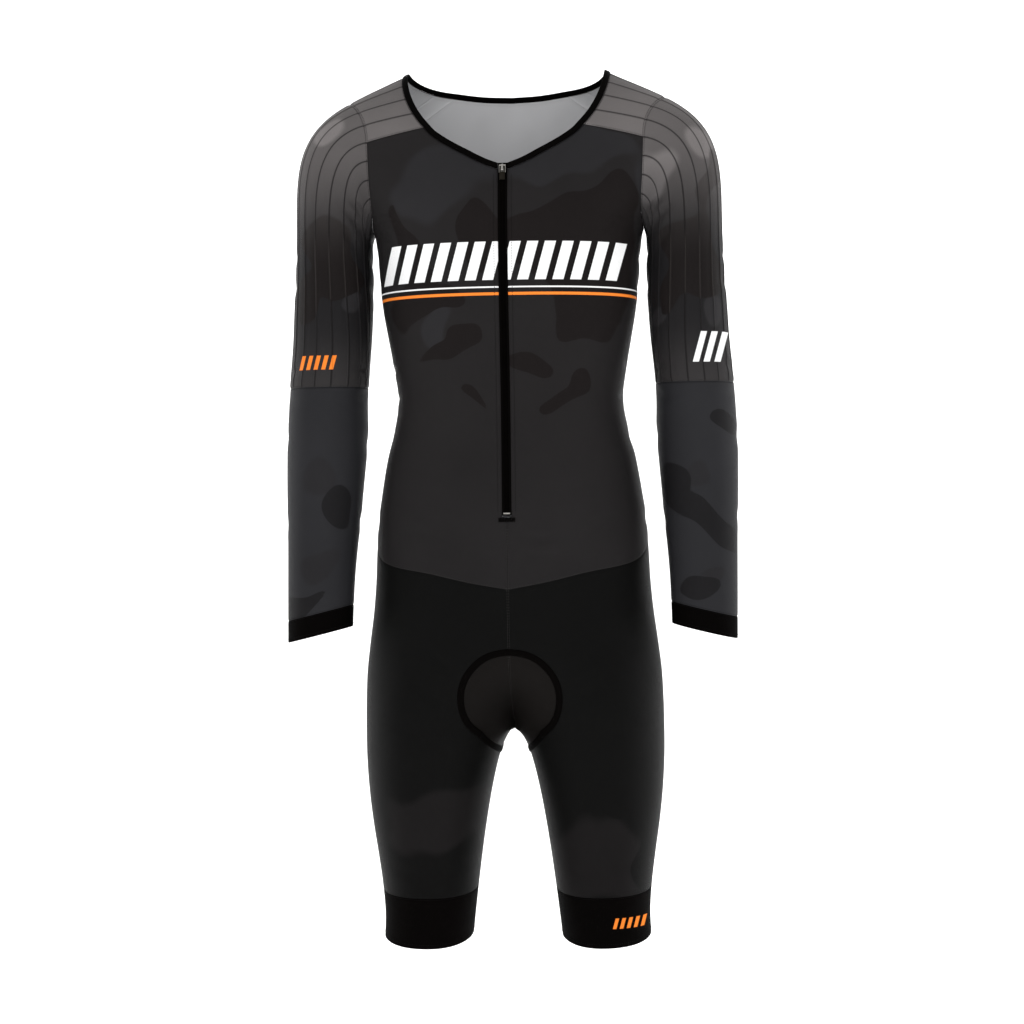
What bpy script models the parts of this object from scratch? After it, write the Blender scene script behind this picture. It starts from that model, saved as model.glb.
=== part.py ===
"""A cycling skinsuit with long sleeves and short legs, in the hollow form it has when worn.

The frame is the garment's own: +Z up, the front faces -Y, the wearer's left is at +X, and the
origin lies between the shoulders, where the wearer carries the suit. Every panel is a thin cloth
wall on one body form, cut along the suit's real seams. The sizes below are in millimetres.
"""

import math

import bmesh
import bpy
import numpy as np
from mathutils import Vector
from mathutils.bvhtree import BVHTree

MM = 0.001

# Cloth and seams
CLOTH = 1.2  # wall of the panels
BAND = 1.5  # wall of the cuffs and leg grippers
SEAM_GAP = 0.3  # between two sewn pieces
LIFT = 0.35  # between a panel and what lies on it

# Heights of the main seams and openings
CROTCH_Z = -706.0
ZIP_BOTTOM_Z = -469.0
ZIP_TOP_Z = -83.0
SLIDER_TOP_Z = -86.5
CAP_RING_Z = -168.0  # the sleeve's first level ring, just under the armpit
ELBOW_Z = -321.0
CUFF_TOP_Z = -573.0
CUFF_HEM_Z = -596.5
GRIPPER_TOP_Z = -884.0
GRIPPER_HEM_Z = -936.0
GRIPPER_TOP_TILT = 0.08  # a seam's rise for each millimetre towards the back
GRIPPER_HEM_TILT = 0.15

# Body form
TORSO_FULLNESS = 2.35  # exponent of the rounded trunk section
LIMB_FULLNESS = 2.12
HIP_BLEND = 100.0  # height over which two thighs become one hip
INSEAM_SPREAD = 3.3  # the gap between the thighs grows with the root of the depth below the crotch
CLEFT_DEPTH = 0.08
CLEFT_POWER = 1.25
THIGH_MID_Y = 3.0

# Ribs knitted into the cloth of the sleeves and yokes
RIB_WIDTH = 3.0
RIB_HEIGHT = 0.8
SLEEVE_RIBS = 16
SLEEVE_RIB_REACH = 0.345  # the outermost ribs, as a share of the armhole either side of its top
UNDERARM_SHARE = 0.125  # of the armhole, on either side of the armpit, before the ribbed cloth starts
CAP_SWELL = (0.85, 1.34)  # a cap line's end tangents as a share of its chord: under the arm, on top

# Zip
ZIP_HALF_WIDTH = 5.2
COIL_HALF_WIDTH = 2.6
SLIDER = (7.6, 9.5, 2.3)  # across, along and thick
SLIDER_OUT = 1.6  # from the panel's face to the slider's back
BRIDGE = (2.2, 7.6, 1.0)  # the loop on the slider that holds the pull: across, along, thick
BRIDGE_ROOM = 2.3  # between the slider's face and the loop
PULL = (6.0, 16.5, 1.1)
PULL_WINDOW = (3.2, 5.9)  # the pull's opening, round the bridge
PULL_BAR = 1.1  # the bar that turns under the bridge
PULL_BAR_UP = 1.6  # above the slider's middle

BINDING_WIDTH = 6.5
PAD_SEAM_WIDTH = 7.5
PAD_SEAM_THICKNESS = 0.9
PAD_SEAM_STEPS = 44

# Mesh density
CAP_STEPS = (0, 0.12, 0.26, 0.4, 0.54, 0.68, 0.83, 1)
SLEEVE_LEVELS = (-200, -255, ELBOW_Z)
FORM_STEPS = 96  # of each half row of the body form
FRONT_COLUMNS = 10
BACK_COLUMNS = 9
YOKE_ROWS = 5


def table(columns, *rows):
    """Rows of numbers under named columns, in rising order of the first column."""
    values = np.array(sorted(rows), float).T
    return dict(zip(columns.split(), values))


# Trunk and outer leg: half width, and depth in front of and behind the axis. Above the armpit the
# half width is that of the arc on which the chest lies, which runs on past the armhole.
BODY = table(
    "z half_width front back",
    (25, 200, 44, 73),
    (10, 199, 53, 81),
    (-20, 196, 69, 92),
    (-50, 190, 84, 99),
    (-80, 181, 96, 103.5),
    (-110, 170, 106, 105.5),
    (-130, 160, 110, 105),
    (-148, 151.5, 112, 104),
    (-169, 147.5, 113, 102),
    (-202, 145, 113, 98),
    (-236, 141.8, 111, 93),
    (-270, 136, 107, 87),
    (-304, 130, 103, 82),
    (-337, 126, 100.5, 79),
    (-371, 131, 100, 80),
    (-405, 139.5, 101, 84),
    (-439, 145.5, 102.5, 90),
    (-472, 150, 103.5, 98),
    (-506, 152.4, 104, 106),
    (-540, 154, 103.5, 113),
    (-574, 157, 102.5, 119),
    (-607, 161.4, 101, 122),
    (-641, 165.4, 100, 120),
    (-675, 167, 98, 114),
    (-706, 167.6, 95, 104),
    (-742, 167, 88, 90),
    (-776, 164.8, 84, 84),
    (-810, 161, 78, 78),
    (-844, 156, 72, 73),
    (-878, 151.5, 67, 69),
    (-911, 149, 63, 65),
    (-945, 150, 60, 63),
    (-968, 150, 60, 62),
)

# One thigh by itself: how far out its deepest part lies, and its depth in front and behind
THIGH = table(
    "z deepest front back",
    (-590, 78, 100, 116),
    (-640, 80, 97, 112),
    (-706, 85, 93, 101),
    (-742, 88, 88.5, 91),
    (-776, 91, 83, 84),
    (-810, 93, 78, 78),
    (-844, 94, 72, 73),
    (-878, 94.5, 67, 69),
    (-911, 95, 63, 65),
    (-945, 96.5, 60, 63),
    (-968, 97, 60, 62),
)

# Arm: inner and outer edge, middle of its depth, and half of that depth. The elbow bends forward.
ARM = table(
    "z inner outer mid_y half_depth",
    (-140, 155, 238.5, 2, 51),
    (-169, 154.7, 239.4, 2, 50),
    (-202, 154.4, 240.7, 3, 49),
    (-236, 155.3, 243.4, 5, 48),
    (-270, 157.6, 245.4, 7, 47.5),
    (-304, 161, 248.6, 9, 47.5),
    (-321, 162.4, 250.2, 9, 48),
    (-337, 163, 251.4, 8, 48),
    (-371, 163, 253, 5, 48),
    (-405, 164.8, 253.7, 0, 47),
    (-439, 167.4, 253.2, -6, 45),
    (-472, 170, 252, -13, 42.5),
    (-506, 173, 251.4, -20, 40),
    (-540, 175.6, 250.9, -27, 37.5),
    (-574, 177, 250.3, -34, 35.5),
    (-625, 178, 249.5, -43, 34),
)
CUFF_TILT = 0.24  # the cuff drops by this much for each millimetre outwards
CUFF_TILT_FROM = -330.0

# Seams that lie on the trunk, as height against distance from the middle plane
ARMHOLE = table("z x", (-148, 151.5), (-140, 150), (-120, 150), (-95, 151.5), (-70, 152.5), (-52, 153))
NECK_FRONT = table("z x", (-90, 5.2), (-84, 20.4), (-73, 41), (-61, 62), (-48, 80), (-39, 88))
NECK_BACK = table("x z", (0, 8.5), (33, 10), (66, 14))

# How far the sleeve's lines lie from its outermost one, as shares of half the way round: on the
# armhole, at the arm's first ring and at the elbow. The ribs spread out as the underarm piece tapers.
SLEEVE_SPREAD = table(
    "armhole cap elbow",
    (0, 0, 0),
    (0.35, 0.42, 0.46),
    (0.69, 0.80, 0.90),
    (0.75, 0.845, 0.935),
    (1, 1, 1),
)

# The hip seam: share of the way round from the middle of the front to that of the back
HIP_SEAM = table(
    "t z",
    (0, -548),
    (0.1, -540.5),
    (0.2, -531),
    (0.37, -518),
    (0.5, -497),
    (0.65, -488),
    (0.8, -486),
    (1, -486),
)

# Highest points of the armhole and of the neck seam, on top of the shoulder
ARM_TOP = (178.5, 8.0, -1.5)
NECK_SIDE = (115.5, 6.0, 28.0)

# Heights of the panel rows, on the middle line or neck seam and on the side or armhole seam
FRONT_ROWS = table(
    "row middle_z side_z",
    (0, -548, -497),
    (1, -510, -468),
    (2, -473, -440),
    (3, -468, -435),
    (4, -425, -400),
    (5, -380, -365),
    (6, -335, -335),
    (7, -290, -300),
    (8, -245, -260),
    (9, -200, -220),
    (10, -160, -180),
    (11, -135, -148),
    (12, -112, -146),
    (13, -90, -140),
    (14, -84, -126),
    (15, -73, -108),
    (16, -61, -89),
    (17, -48, -70),
    (18, -39, -52),
)
BACK_MIDDLE_Z = table("row z", (0, -486), (2, -435), (6, -335), (11, -145), (18, 8.5))
ARMPIT_ROW = 11
NECK_TIP_ROW = 13
ZIP_ROW = 3

# The seam of the seat pad, which shows as a black band: height, and distance round the thigh from
# the middle line or inseam
PAD_SEAM_FRONT = table(
    "step z around",
    (0, -616, 0),
    (1, -619, 22),
    (2, -631, 39),
    (3, -648, 53),
    (4, -668, 65),
    (5, -688, 79),
    (6, -706, 86),
    (7, -722, 50),
    (8, -731, 0),
)
PAD_SEAM_BACK = table(
    "step z around",
    (0, -731, 0),
    (1, -727, 22),
    (2, -714, 50),
    (3, -691, 74),
    (4, -662, 88),
    (5, -632, 88),
    (6, -607, 68),
    (7, -594, 36),
    (8, -590, 0),
)

MATERIALS = {
    "print": ((0.030, 0.031, 0.034), 0.55, 0.0),
    "shorts": ((0.018, 0.018, 0.019), 0.55, 0.0),
    "rib": ((0.085, 0.083, 0.084), 0.6, 0.0),
    "forearm": ((0.050, 0.051, 0.056), 0.5, 0.0),
    "black": ((0.008, 0.008, 0.008), 0.6, 0.0),
    "zip": ((0.006, 0.006, 0.006), 0.4, 0.0),
    "metal": ((0.60, 0.59, 0.57), 0.3, 1.0),
}


def unit(vectors):
    return vectors / np.maximum(np.linalg.norm(vectors, axis=-1, keepdims=True), 1e-12)


def through(keys, values, at):
    """Values at the given keys, on a smooth curve through the rows of a table."""
    at = np.clip(at, keys[0], keys[-1])
    slopes = np.gradient(values, keys)
    i = np.clip(np.searchsorted(keys, at) - 1, 0, len(keys) - 2)
    span = keys[i + 1] - keys[i]
    s = (at - keys[i]) / span
    return (
        (1 + 2 * s) * (1 - s) ** 2 * values[i]
        + s * (1 - s) ** 2 * span * slopes[i]
        + s * s * (3 - 2 * s) * values[i + 1]
        + s * s * (s - 1) * span * slopes[i + 1]
    )


def look_up(rows, name, at):
    keys = rows[next(iter(rows))]
    return through(keys, rows[name], np.asarray(at, float))


def smooth_step(s):
    s = np.clip(s, 0, 1)
    return s * s * (3 - 2 * s)


def hermite(start, start_tangent, end, end_tangent, s):
    """Points on cubic curves, one for each value of s."""
    return (
        (1 + 2 * s) * (1 - s) ** 2 * start
        + s * (1 - s) ** 2 * start_tangent
        + s * s * (3 - 2 * s) * end
        + s * s * (s - 1) * end_tangent
    )


def walk(points):
    """Distance along a polyline at each of its points."""
    steps = np.linalg.norm(np.diff(points, axis=0), axis=1)
    return np.concatenate([[0], np.cumsum(steps)])


def evenly(points, shares):
    """Points on a polyline at the given shares of its length."""
    along = walk(points)
    return np.stack([np.interp(np.asarray(shares) * along[-1], along, points[:, k]) for k in range(3)], -1)


def rounded(angle, half_width, depth, fullness):
    """Radius of a superellipse, with the angle measured from its depth axis."""
    across = np.abs(np.sin(angle) / half_width) ** fullness
    along = np.abs(np.cos(angle) / depth) ** fullness
    return (across + along) ** (-1 / fullness)


def trunk_arc(z, half):
    """Half of the trunk's section from the middle line to the side: half 0 is in front, 1 behind."""
    angle = np.linspace(0, math.pi / 2, 200)
    depth = look_up(BODY, ("front", "back")[half], z)
    radius = rounded(angle, look_up(BODY, "half_width", z), depth, TORSO_FULLNESS)
    y = radius * np.cos(angle) * (1 if half else -1)
    return np.stack([radius * np.sin(angle), y, np.full_like(angle, z)], -1)


def thigh_arc(z, half):
    """Half of one thigh's section, from the inseam to the side, and from the middle above the crotch."""
    above = z - CROTCH_Z
    inner = INSEAM_SPREAD * math.sqrt(-above) if above < 0 else -CLEFT_DEPTH * above**CLEFT_POWER
    outer = look_up(BODY, "half_width", z)
    deepest = look_up(THIGH, "deepest", z)
    depth = look_up(THIGH, ("front", "back")[half], z) + (-THIGH_MID_Y if half else THIGH_MID_Y)
    angle = np.linspace(-math.pi / 2, math.pi / 2, 401)
    half_width = np.where(angle < 0, deepest - inner, outer - deepest)
    radius = rounded(angle, half_width, depth, LIMB_FULLNESS)
    x = deepest + radius * np.sin(angle)
    y = THIGH_MID_Y + radius * np.cos(angle) * (1 if half else -1)
    points = np.stack([x, y, np.full_like(angle, z)], -1)
    if above <= 0:
        return points
    first = np.argmax(x > 0)
    share = x[first - 1] / (x[first - 1] - x[first])
    cut = points[first - 1] + share * (points[first] - points[first - 1])
    return np.vstack([cut, points[first:]])


def form_row(z):
    """The body form at one height: front middle, side, back middle, evenly spaced in each half."""
    shares = np.linspace(0, 1, FORM_STEPS + 1)
    halves = []
    for half in (0, 1):
        above = z - CROTCH_Z
        trunk_share = float(smooth_step(above / HIP_BLEND))
        row = np.zeros((FORM_STEPS + 1, 3))
        if trunk_share < 1:
            row += (1 - trunk_share) * evenly(thigh_arc(z, half), shares)
        if trunk_share > 0:
            row += trunk_share * evenly(trunk_arc(z, half), shares)
        halves.append(row)
    return np.vstack([halves[0], halves[1][-2::-1]])


NEAR_CROTCH = CROTCH_Z + np.array([-8, -5, -3, -1.5, -0.6, -0.2, 0, 0.6, 1.5, 3, 5, 8])
LEVELS = np.unique(np.concatenate([np.arange(-968, 25.5, 3), NEAR_CROTCH]))
FORM = np.stack([form_row(z) for z in LEVELS])


def body(z, t):
    """The body form at height z, a share t of the way round from the front middle to the back middle."""
    z, t = np.broadcast_arrays(np.asarray(z, float), np.asarray(t, float))
    i = np.clip(np.searchsorted(LEVELS, z, side="right") - 1, 0, len(LEVELS) - 2)
    up = ((z - LEVELS[i]) / (LEVELS[i + 1] - LEVELS[i]))[..., None]
    steps = np.clip(t, 0, 1) * 2 * FORM_STEPS
    j = np.clip(steps.astype(int), 0, 2 * FORM_STEPS - 1)
    on = (steps - j)[..., None]
    low = FORM[i, j] * (1 - on) + FORM[i, j + 1] * on
    high = FORM[i + 1, j] * (1 - on) + FORM[i + 1, j + 1] * on
    return low * (1 - up) + high * up


def body_normal(z, t):
    """Outward normals of the body form."""
    z, t = np.broadcast_arrays(np.asarray(z, float), np.asarray(t, float))
    step_z, step_t = 3.0, 0.008
    one_trunk = z >= CROTCH_Z
    rise = body(np.where(one_trunk, z + step_z, z), t) - body(np.where(one_trunk, z, z - step_z), t)
    ahead = np.where(one_trunk, np.clip(t + step_t, 0, 1), (t + step_t) % 1)
    behind = np.where(one_trunk, np.clip(t - step_t, 0, 1), (t - step_t) % 1)
    normal = np.cross(body(z, ahead) - body(z, behind), rise)
    on_middle = one_trunk & ((t <= 0) | (t >= 1))
    normal[..., 0] = np.where(on_middle, 0, normal[..., 0])
    normal = unit(normal)
    at_crotch = on_middle & (np.abs(z - CROTCH_Z) < 0.01)
    normal[at_crotch] = (0, 0, -1)
    return normal


def share_at(z, x, half):
    """How far round the form lies the point at that height and distance from the middle plane."""
    t = np.linspace(0, 0.5, FORM_STEPS + 1) if half == 0 else np.linspace(1, 0.5, FORM_STEPS + 1)
    row = body(z, t)
    return float(np.interp(x, row[:, 0], t))


def middle_share(row):
    """The front panel's inner edge: the middle seam, the side of the zip, and then the neck seam."""
    z = FRONT_ROWS["middle_z"][row]
    if row < ZIP_ROW:
        return 0.0
    x = ZIP_HALF_WIDTH if row <= NECK_TIP_ROW else float(look_up(NECK_FRONT, "x", z))
    return share_at(z, x, 0)


def side_share(row, half):
    """A trunk panel's outer edge: the side seam and then the armhole."""
    z = FRONT_ROWS["side_z"][row]
    if row <= ARMPIT_ROW:
        return 0.5
    return share_at(z, float(look_up(ARMHOLE, "x", z)), half)


def back_top_shares():
    """Height and share along the top of the back: the yoke seam, then the neck seam to the middle."""
    corner_z, corner_t = FRONT_ROWS["side_z"][-1], side_share(len(FRONT_ROWS["row"]) - 1, 1)
    neck_x = NECK_BACK["x"][-1]
    neck_z = float(look_up(NECK_BACK, "z", neck_x))
    neck_t = share_at(neck_z, neck_x, 1)
    along = np.linspace(0, 1, YOKE_ROWS + 1)
    z = list(corner_z + (neck_z - corner_z) * along)
    t = list(corner_t + (neck_t - corner_t) * along)
    for x in np.linspace(neck_x, 0, BACK_COLUMNS - YOKE_ROWS + 1)[1:]:
        z.append(float(look_up(NECK_BACK, "z", x)))
        t.append(share_at(z[-1], x, 1))
    return np.array(z), np.array(t)


def front_grid():
    """Height and share round the form of each point of a front panel, from the hip seam up."""
    z, t = [], []
    across = np.linspace(0, 1, FRONT_COLUMNS + 1)
    for row in range(len(FRONT_ROWS["row"])):
        start, end = middle_share(row), side_share(row, 0)
        shares = start + (end - start) * across
        middle_z, side_z = FRONT_ROWS["middle_z"][row], FRONT_ROWS["side_z"][row]
        heights = middle_z + (side_z - middle_z) * across
        if row == 0:
            heights = look_up(HIP_SEAM, "z", shares)
        z.append(heights)
        t.append(shares)
    z, t = np.array(z), np.array(t)
    sag = z[0] - (z[0, 0] + (z[0, -1] - z[0, 0]) * across)
    for row in range(1, ARMPIT_ROW):
        z[row] += sag * (1 - row / ARMPIT_ROW) ** 2
    return z, t


def back_grid():
    """The same for half of the back panel, from the side to the middle."""
    top_z, top_t = back_top_shares()
    across = np.linspace(0, 1, BACK_COLUMNS + 1)
    last = len(FRONT_ROWS["row"]) - 1
    z, t = [], []
    for row in range(last + 1):
        side_z = FRONT_ROWS["side_z"][row]
        middle_z = float(look_up(BACK_MIDDLE_Z, "z", row))
        start = side_share(row, 1)
        even_z, even_t = side_z + (middle_z - side_z) * across, start + (1 - start) * across
        if row == 0:
            even_z = look_up(HIP_SEAM, "z", even_t)
        rise = max(0, (row - ARMPIT_ROW) / (last - ARMPIT_ROW)) ** 1.5
        bent_z = side_z + (middle_z - side_z) * (top_z - top_z[0]) / (top_z[-1] - top_z[0])
        bent_t = start + (1 - start) * (top_t - top_t[0]) / (1 - top_t[0])
        z.append(even_z * (1 - rise) + bent_z * rise)
        t.append(even_t * (1 - rise) + bent_t * rise)
    z[-1], t[-1] = top_z, top_t
    return np.array(z), np.array(t)


def shoulder_arc(front, front_tangent, top, back, back_tangent, steps):
    """A line over the shoulder, from the front yoke seam over the top to the back one."""
    top = np.array(top)
    s = np.linspace(0, 1, steps + 1)[:, None]
    reach = abs(top[1] - front[1])
    over = np.array([0, 1.45 * reach, 0])
    first = hermite(front, front_tangent * 1.35 * np.linalg.norm(top - front), top, over, s)
    reach = abs(back[1] - top[1])
    over = np.array([0, 1.45 * reach, 0])
    second = hermite(top, over, back, back_tangent * 1.35 * np.linalg.norm(back - top), s)
    return np.vstack([first, second[1:]])


def past_edge(edge, z, t):
    """Directions that lie in the body form, square to an edge, and point up past it."""
    normal = body_normal(z, t)
    square = np.cross(normal, unit(np.gradient(edge, axis=0)))
    return square * np.sign(square[:, 2:3])


class Shoulder:
    """The lines that the yoke, sleeve, trunk panels and neck binding share on the wearer's left."""

    arc_steps = 12

    def __init__(self):
        front_z, front_t = front_grid()
        back_z, back_t = back_grid()
        front, back = body(front_z, front_t), body(back_z, back_t)
        upper = slice(ARMPIT_ROW, None)
        arm_front, arm_back = front[upper, -1], back[upper, 0]
        self.arm_arc = shoulder_arc(
            arm_front[-1], unit(arm_front[-1] - arm_front[-2]), ARM_TOP,
            arm_back[-1], unit(arm_back[-2] - arm_back[-1]), self.arc_steps,
        )
        neck_front = front[NECK_TIP_ROW:, 0]
        neck_back = back[-1, YOKE_ROWS:]
        armhole = np.vstack([arm_front, self.arm_arc[1:-1], arm_back[::-1]])
        along = walk(armhole)
        ends = len(arm_front) - 1, len(arm_front) + 2 * self.arc_steps - 1
        self.armhole, self.length = armhole, along[-1]
        self.arc_span = along[ends[0]] / along[-1], along[ends[1]] / along[-1]
        self.columns = yoke_columns(self.arc_span, self.length)
        self.neck_shares = np.delete(self.columns[0], self.columns[2][1:-1] + 1)
        neck = slice(NECK_TIP_ROW, None)
        self.front_lean = unit(past_edge(front[neck, 0], front_z[neck, 0], front_t[neck, 0]))
        neck = slice(YOKE_ROWS, None)
        self.back_lean = unit(past_edge(back[-1, neck], back_z[-1, neck], back_t[-1, neck]))
        self.neck_arc = shoulder_arc(
            neck_front[-1], unit(neck_front[-1] - neck_front[-2]), NECK_SIDE,
            neck_back[0], unit(neck_back[1] - neck_back[0]), self.arc_steps,
        )
        self.front_seam = evenly_by_index(front[-1], YOKE_ROWS)
        self.back_seam = back[-1, : YOKE_ROWS + 1][::-1]
        neck_top = evenly(self.neck_arc, self.neck_shares[1:-1])
        self.neck_seam = np.vstack([neck_front, neck_top, neck_back])

    def neck_lean(self):
        """The way on past the neck seam, in the cloth of the panels that meet it."""
        rows = self.yoke(np.array([0.0, 0.1]), self.neck_shares)
        lean = unit(np.vstack([self.front_lean[:-1], rows[0] - rows[1], self.back_lean[1:]]))
        for _ in range(3):
            lean[1:-1] = unit(lean[:-2] + 2 * lean[1:-1] + lean[2:])
        return lean

    def yoke(self, along, over):
        """Points of the yoke: along goes from the neck to the armhole, over from front to back."""
        along, over = along[:, None, None], np.asarray(over)[None, :, None]
        neck, arm = evenly(self.neck_arc, over.ravel())[None], evenly(self.arm_arc, over.ravel())[None]
        front = evenly(self.front_seam, along.ravel())[:, None]
        back = evenly(self.back_seam, along.ravel())[:, None]
        corners = (1 - along) * ((1 - over) * self.neck_arc[0] + over * self.neck_arc[-1]) + along * (
            (1 - over) * self.arm_arc[0] + over * self.arm_arc[-1]
        )
        return (1 - along) * neck + along * arm + (1 - over) * front + over * back - corners


def evenly_by_index(points, steps):
    """The same polyline with fewer points, each one of the first."""
    keep = np.round(np.linspace(0, len(points) - 1, steps + 1)).astype(int)
    return points[keep]


def grid_normals(points, closed=False):
    """Normals of a grid of points, outwards where rows run down and columns run from front to back."""
    down = np.gradient(points, axis=0)
    if closed:
        across = np.roll(points, -1, axis=1) - np.roll(points, 1, axis=1)
    else:
        across = np.gradient(points, axis=1)
    return unit(np.cross(down, across))


def arm_ring(z, shares):
    """Points round the arm at one height, from the inner side forward and round, by share of its length."""
    inner, outer = look_up(ARM, "inner", z), look_up(ARM, "outer", z)
    middle, half_width = (inner + outer) / 2, (outer - inner) / 2
    angle = np.linspace(0, 2 * math.pi, 361)
    radius = rounded(angle - math.pi / 2, half_width, look_up(ARM, "half_depth", z), LIMB_FULLNESS)
    x = -radius * np.cos(angle)
    y = look_up(ARM, "mid_y", z) - radius * np.sin(angle)
    tilt = CUFF_TILT * float(smooth_step((CUFF_TILT_FROM - z) / (CUFF_TILT_FROM - CUFF_TOP_Z)))
    return evenly(np.stack([middle + x, y, z - tilt * x], -1), shares)


def ring_share(share, z=CAP_RING_Z):
    """Share of the way round the arm at a height, for a share of the way round the armhole."""
    u = np.asarray(share) * 2 - 1
    low = smooth_step((CAP_RING_Z - z) / (CAP_RING_Z - ELBOW_Z))
    at_cap, at_elbow = (look_up(SLEEVE_SPREAD, end, np.abs(u)) for end in ("cap", "elbow"))
    reach = (1 - low) * at_cap + low * at_elbow
    return 0.5 + 0.5 * np.sign(u) * reach


def cap_tangents(shoulder, shares):
    """Directions in which the cloth leaves the armhole, level with the trunk except under the arm."""
    ring = shoulder.armhole
    along = walk(ring) / walk(ring)[-1]
    outward = []
    arc_start = FRONT_ROWS["row"].size - 1 - ARMPIT_ROW
    arc = walk(shoulder.arm_arc) / walk(shoulder.arm_arc)[-1]
    yoke = shoulder.yoke(np.array([0.8, 1.0]), arc)
    front_z, front_t = front_grid()
    back_z, back_t = back_grid()
    for k in range(len(ring)):
        over = k - arc_start
        if over < 0:
            row = ARMPIT_ROW + k
            z, t = front_z[row, -1], front_t[row, -1]
            outward.append(body(z, t + 0.01) - body(z, t - 0.01))
        elif over <= 2 * Shoulder.arc_steps:
            outward.append(yoke[1, over] - yoke[0, over])
        else:
            row = ARMPIT_ROW + len(ring) - 1 - k
            z, t = back_z[row, 0], back_t[row, 0]
            outward.append(body(z, t - 0.01) - body(z, t + 0.01))
    outward = unit(np.array(outward))
    under = smooth_step((0.20 - np.minimum(along, 1 - along)) / 0.17)[:, None]
    outward = unit(outward * (1 - under) + np.array([0.55, 0, -0.85]) * under)
    return unit(np.stack([np.interp(shares, along, outward[:, k]) for k in range(3)], -1))


def cap_rows(shoulder, shares, steps):
    """The sleeve's cap: rows of points from the armhole to the first level ring of the arm."""
    start = evenly(shoulder.armhole, shares)
    outward = cap_tangents(shoulder, shares)
    end = arm_ring(CAP_RING_Z, ring_share(shares))
    down = unit(arm_ring(CAP_RING_Z - 6, ring_share(shares)) - arm_ring(CAP_RING_Z + 6, ring_share(shares)))
    over = smooth_step(1.4 * (1 - np.abs(2 * shares - 1)))[:, None]
    swell = CAP_SWELL[0] + (CAP_SWELL[1] - CAP_SWELL[0]) * over
    swell = swell * np.linalg.norm(end - start, axis=1, keepdims=True)
    return [hermite(start, outward * swell, end, down * swell, s) for s in steps]


def rib_centres():
    """Where the ribs cross the armhole, as shares of its length."""
    return np.linspace(0.5 - SLEEVE_RIB_REACH, 0.5 + SLEEVE_RIB_REACH, SLEEVE_RIBS)


def ribbed_columns(centres, length, ends):
    """Columns of a ribbed wall: each rib's feet and crest, their heights, and those the inside keeps."""
    foot = RIB_WIDTH / 2 / length
    shares, height, kept = [ends[0]], [0.0], [0]
    for centre in centres:
        kept.append(len(shares))
        shares += [centre - foot, centre, centre + foot]
        height += [0.0, 1.0, 0.0]
    kept.append(len(shares))
    return np.array(shares + [ends[1]]), np.array(height + [0.0]), np.array(kept)


def pulled_in(points, edges, closed=False):
    """The grid with its sewn edges drawn back by half the seam gap, along the cloth."""
    points = points.copy()
    move = np.zeros_like(points)

    def draw(edge, inside):
        tangent = unit(np.gradient(edge, axis=0))
        if closed:
            tangent = unit(np.roll(edge, -1, axis=0) - np.roll(edge, 1, axis=0))
        toward = inside - edge
        toward -= np.sum(toward * tangent, axis=1, keepdims=True) * tangent
        return unit(toward) * SEAM_GAP / 2

    if "top" in edges:
        move[0] += draw(points[0], points[1])
    if "bottom" in edges:
        move[-1] += draw(points[-1], points[-2])
    if "first" in edges:
        move[:, 0] += draw(points[:, 0], points[:, 1])
    if "last" in edges:
        move[:, -1] += draw(points[:, -1], points[:, -2])
    return points + move


def material(name):
    """The named cloth or metal."""
    made = bpy.data.materials.get(name)
    if made:
        return made
    colour, roughness, metallic = MATERIALS[name]
    made = bpy.data.materials.new(name)
    made.use_nodes = True
    shader = made.node_tree.nodes["Principled BSDF"]
    shader.inputs["Base Color"].default_value = (*colour, 1)
    shader.inputs["Roughness"].default_value = roughness
    shader.inputs["Metallic"].default_value = metallic
    made.diffuse_color = (*colour, 1)
    return made


def solid(name, points, faces, finish, smooth=True):
    """An object from points in millimetres and its faces."""
    mesh = bpy.data.meshes.new(name)
    mesh.from_pydata([tuple(p) for p in np.asarray(points) * MM], [], faces)
    shape = bmesh.new()
    shape.from_mesh(mesh)
    bmesh.ops.recalc_face_normals(shape, faces=shape.faces)
    shape.to_mesh(mesh)
    shape.free()
    mesh.materials.append(material(finish))
    if smooth:
        mesh.shade_smooth()
        mesh.set_sharp_from_angle(angle=math.radians(40))
    made = bpy.data.objects.new(name, mesh)
    bpy.context.scene.collection.objects.link(made)
    return made


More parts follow.
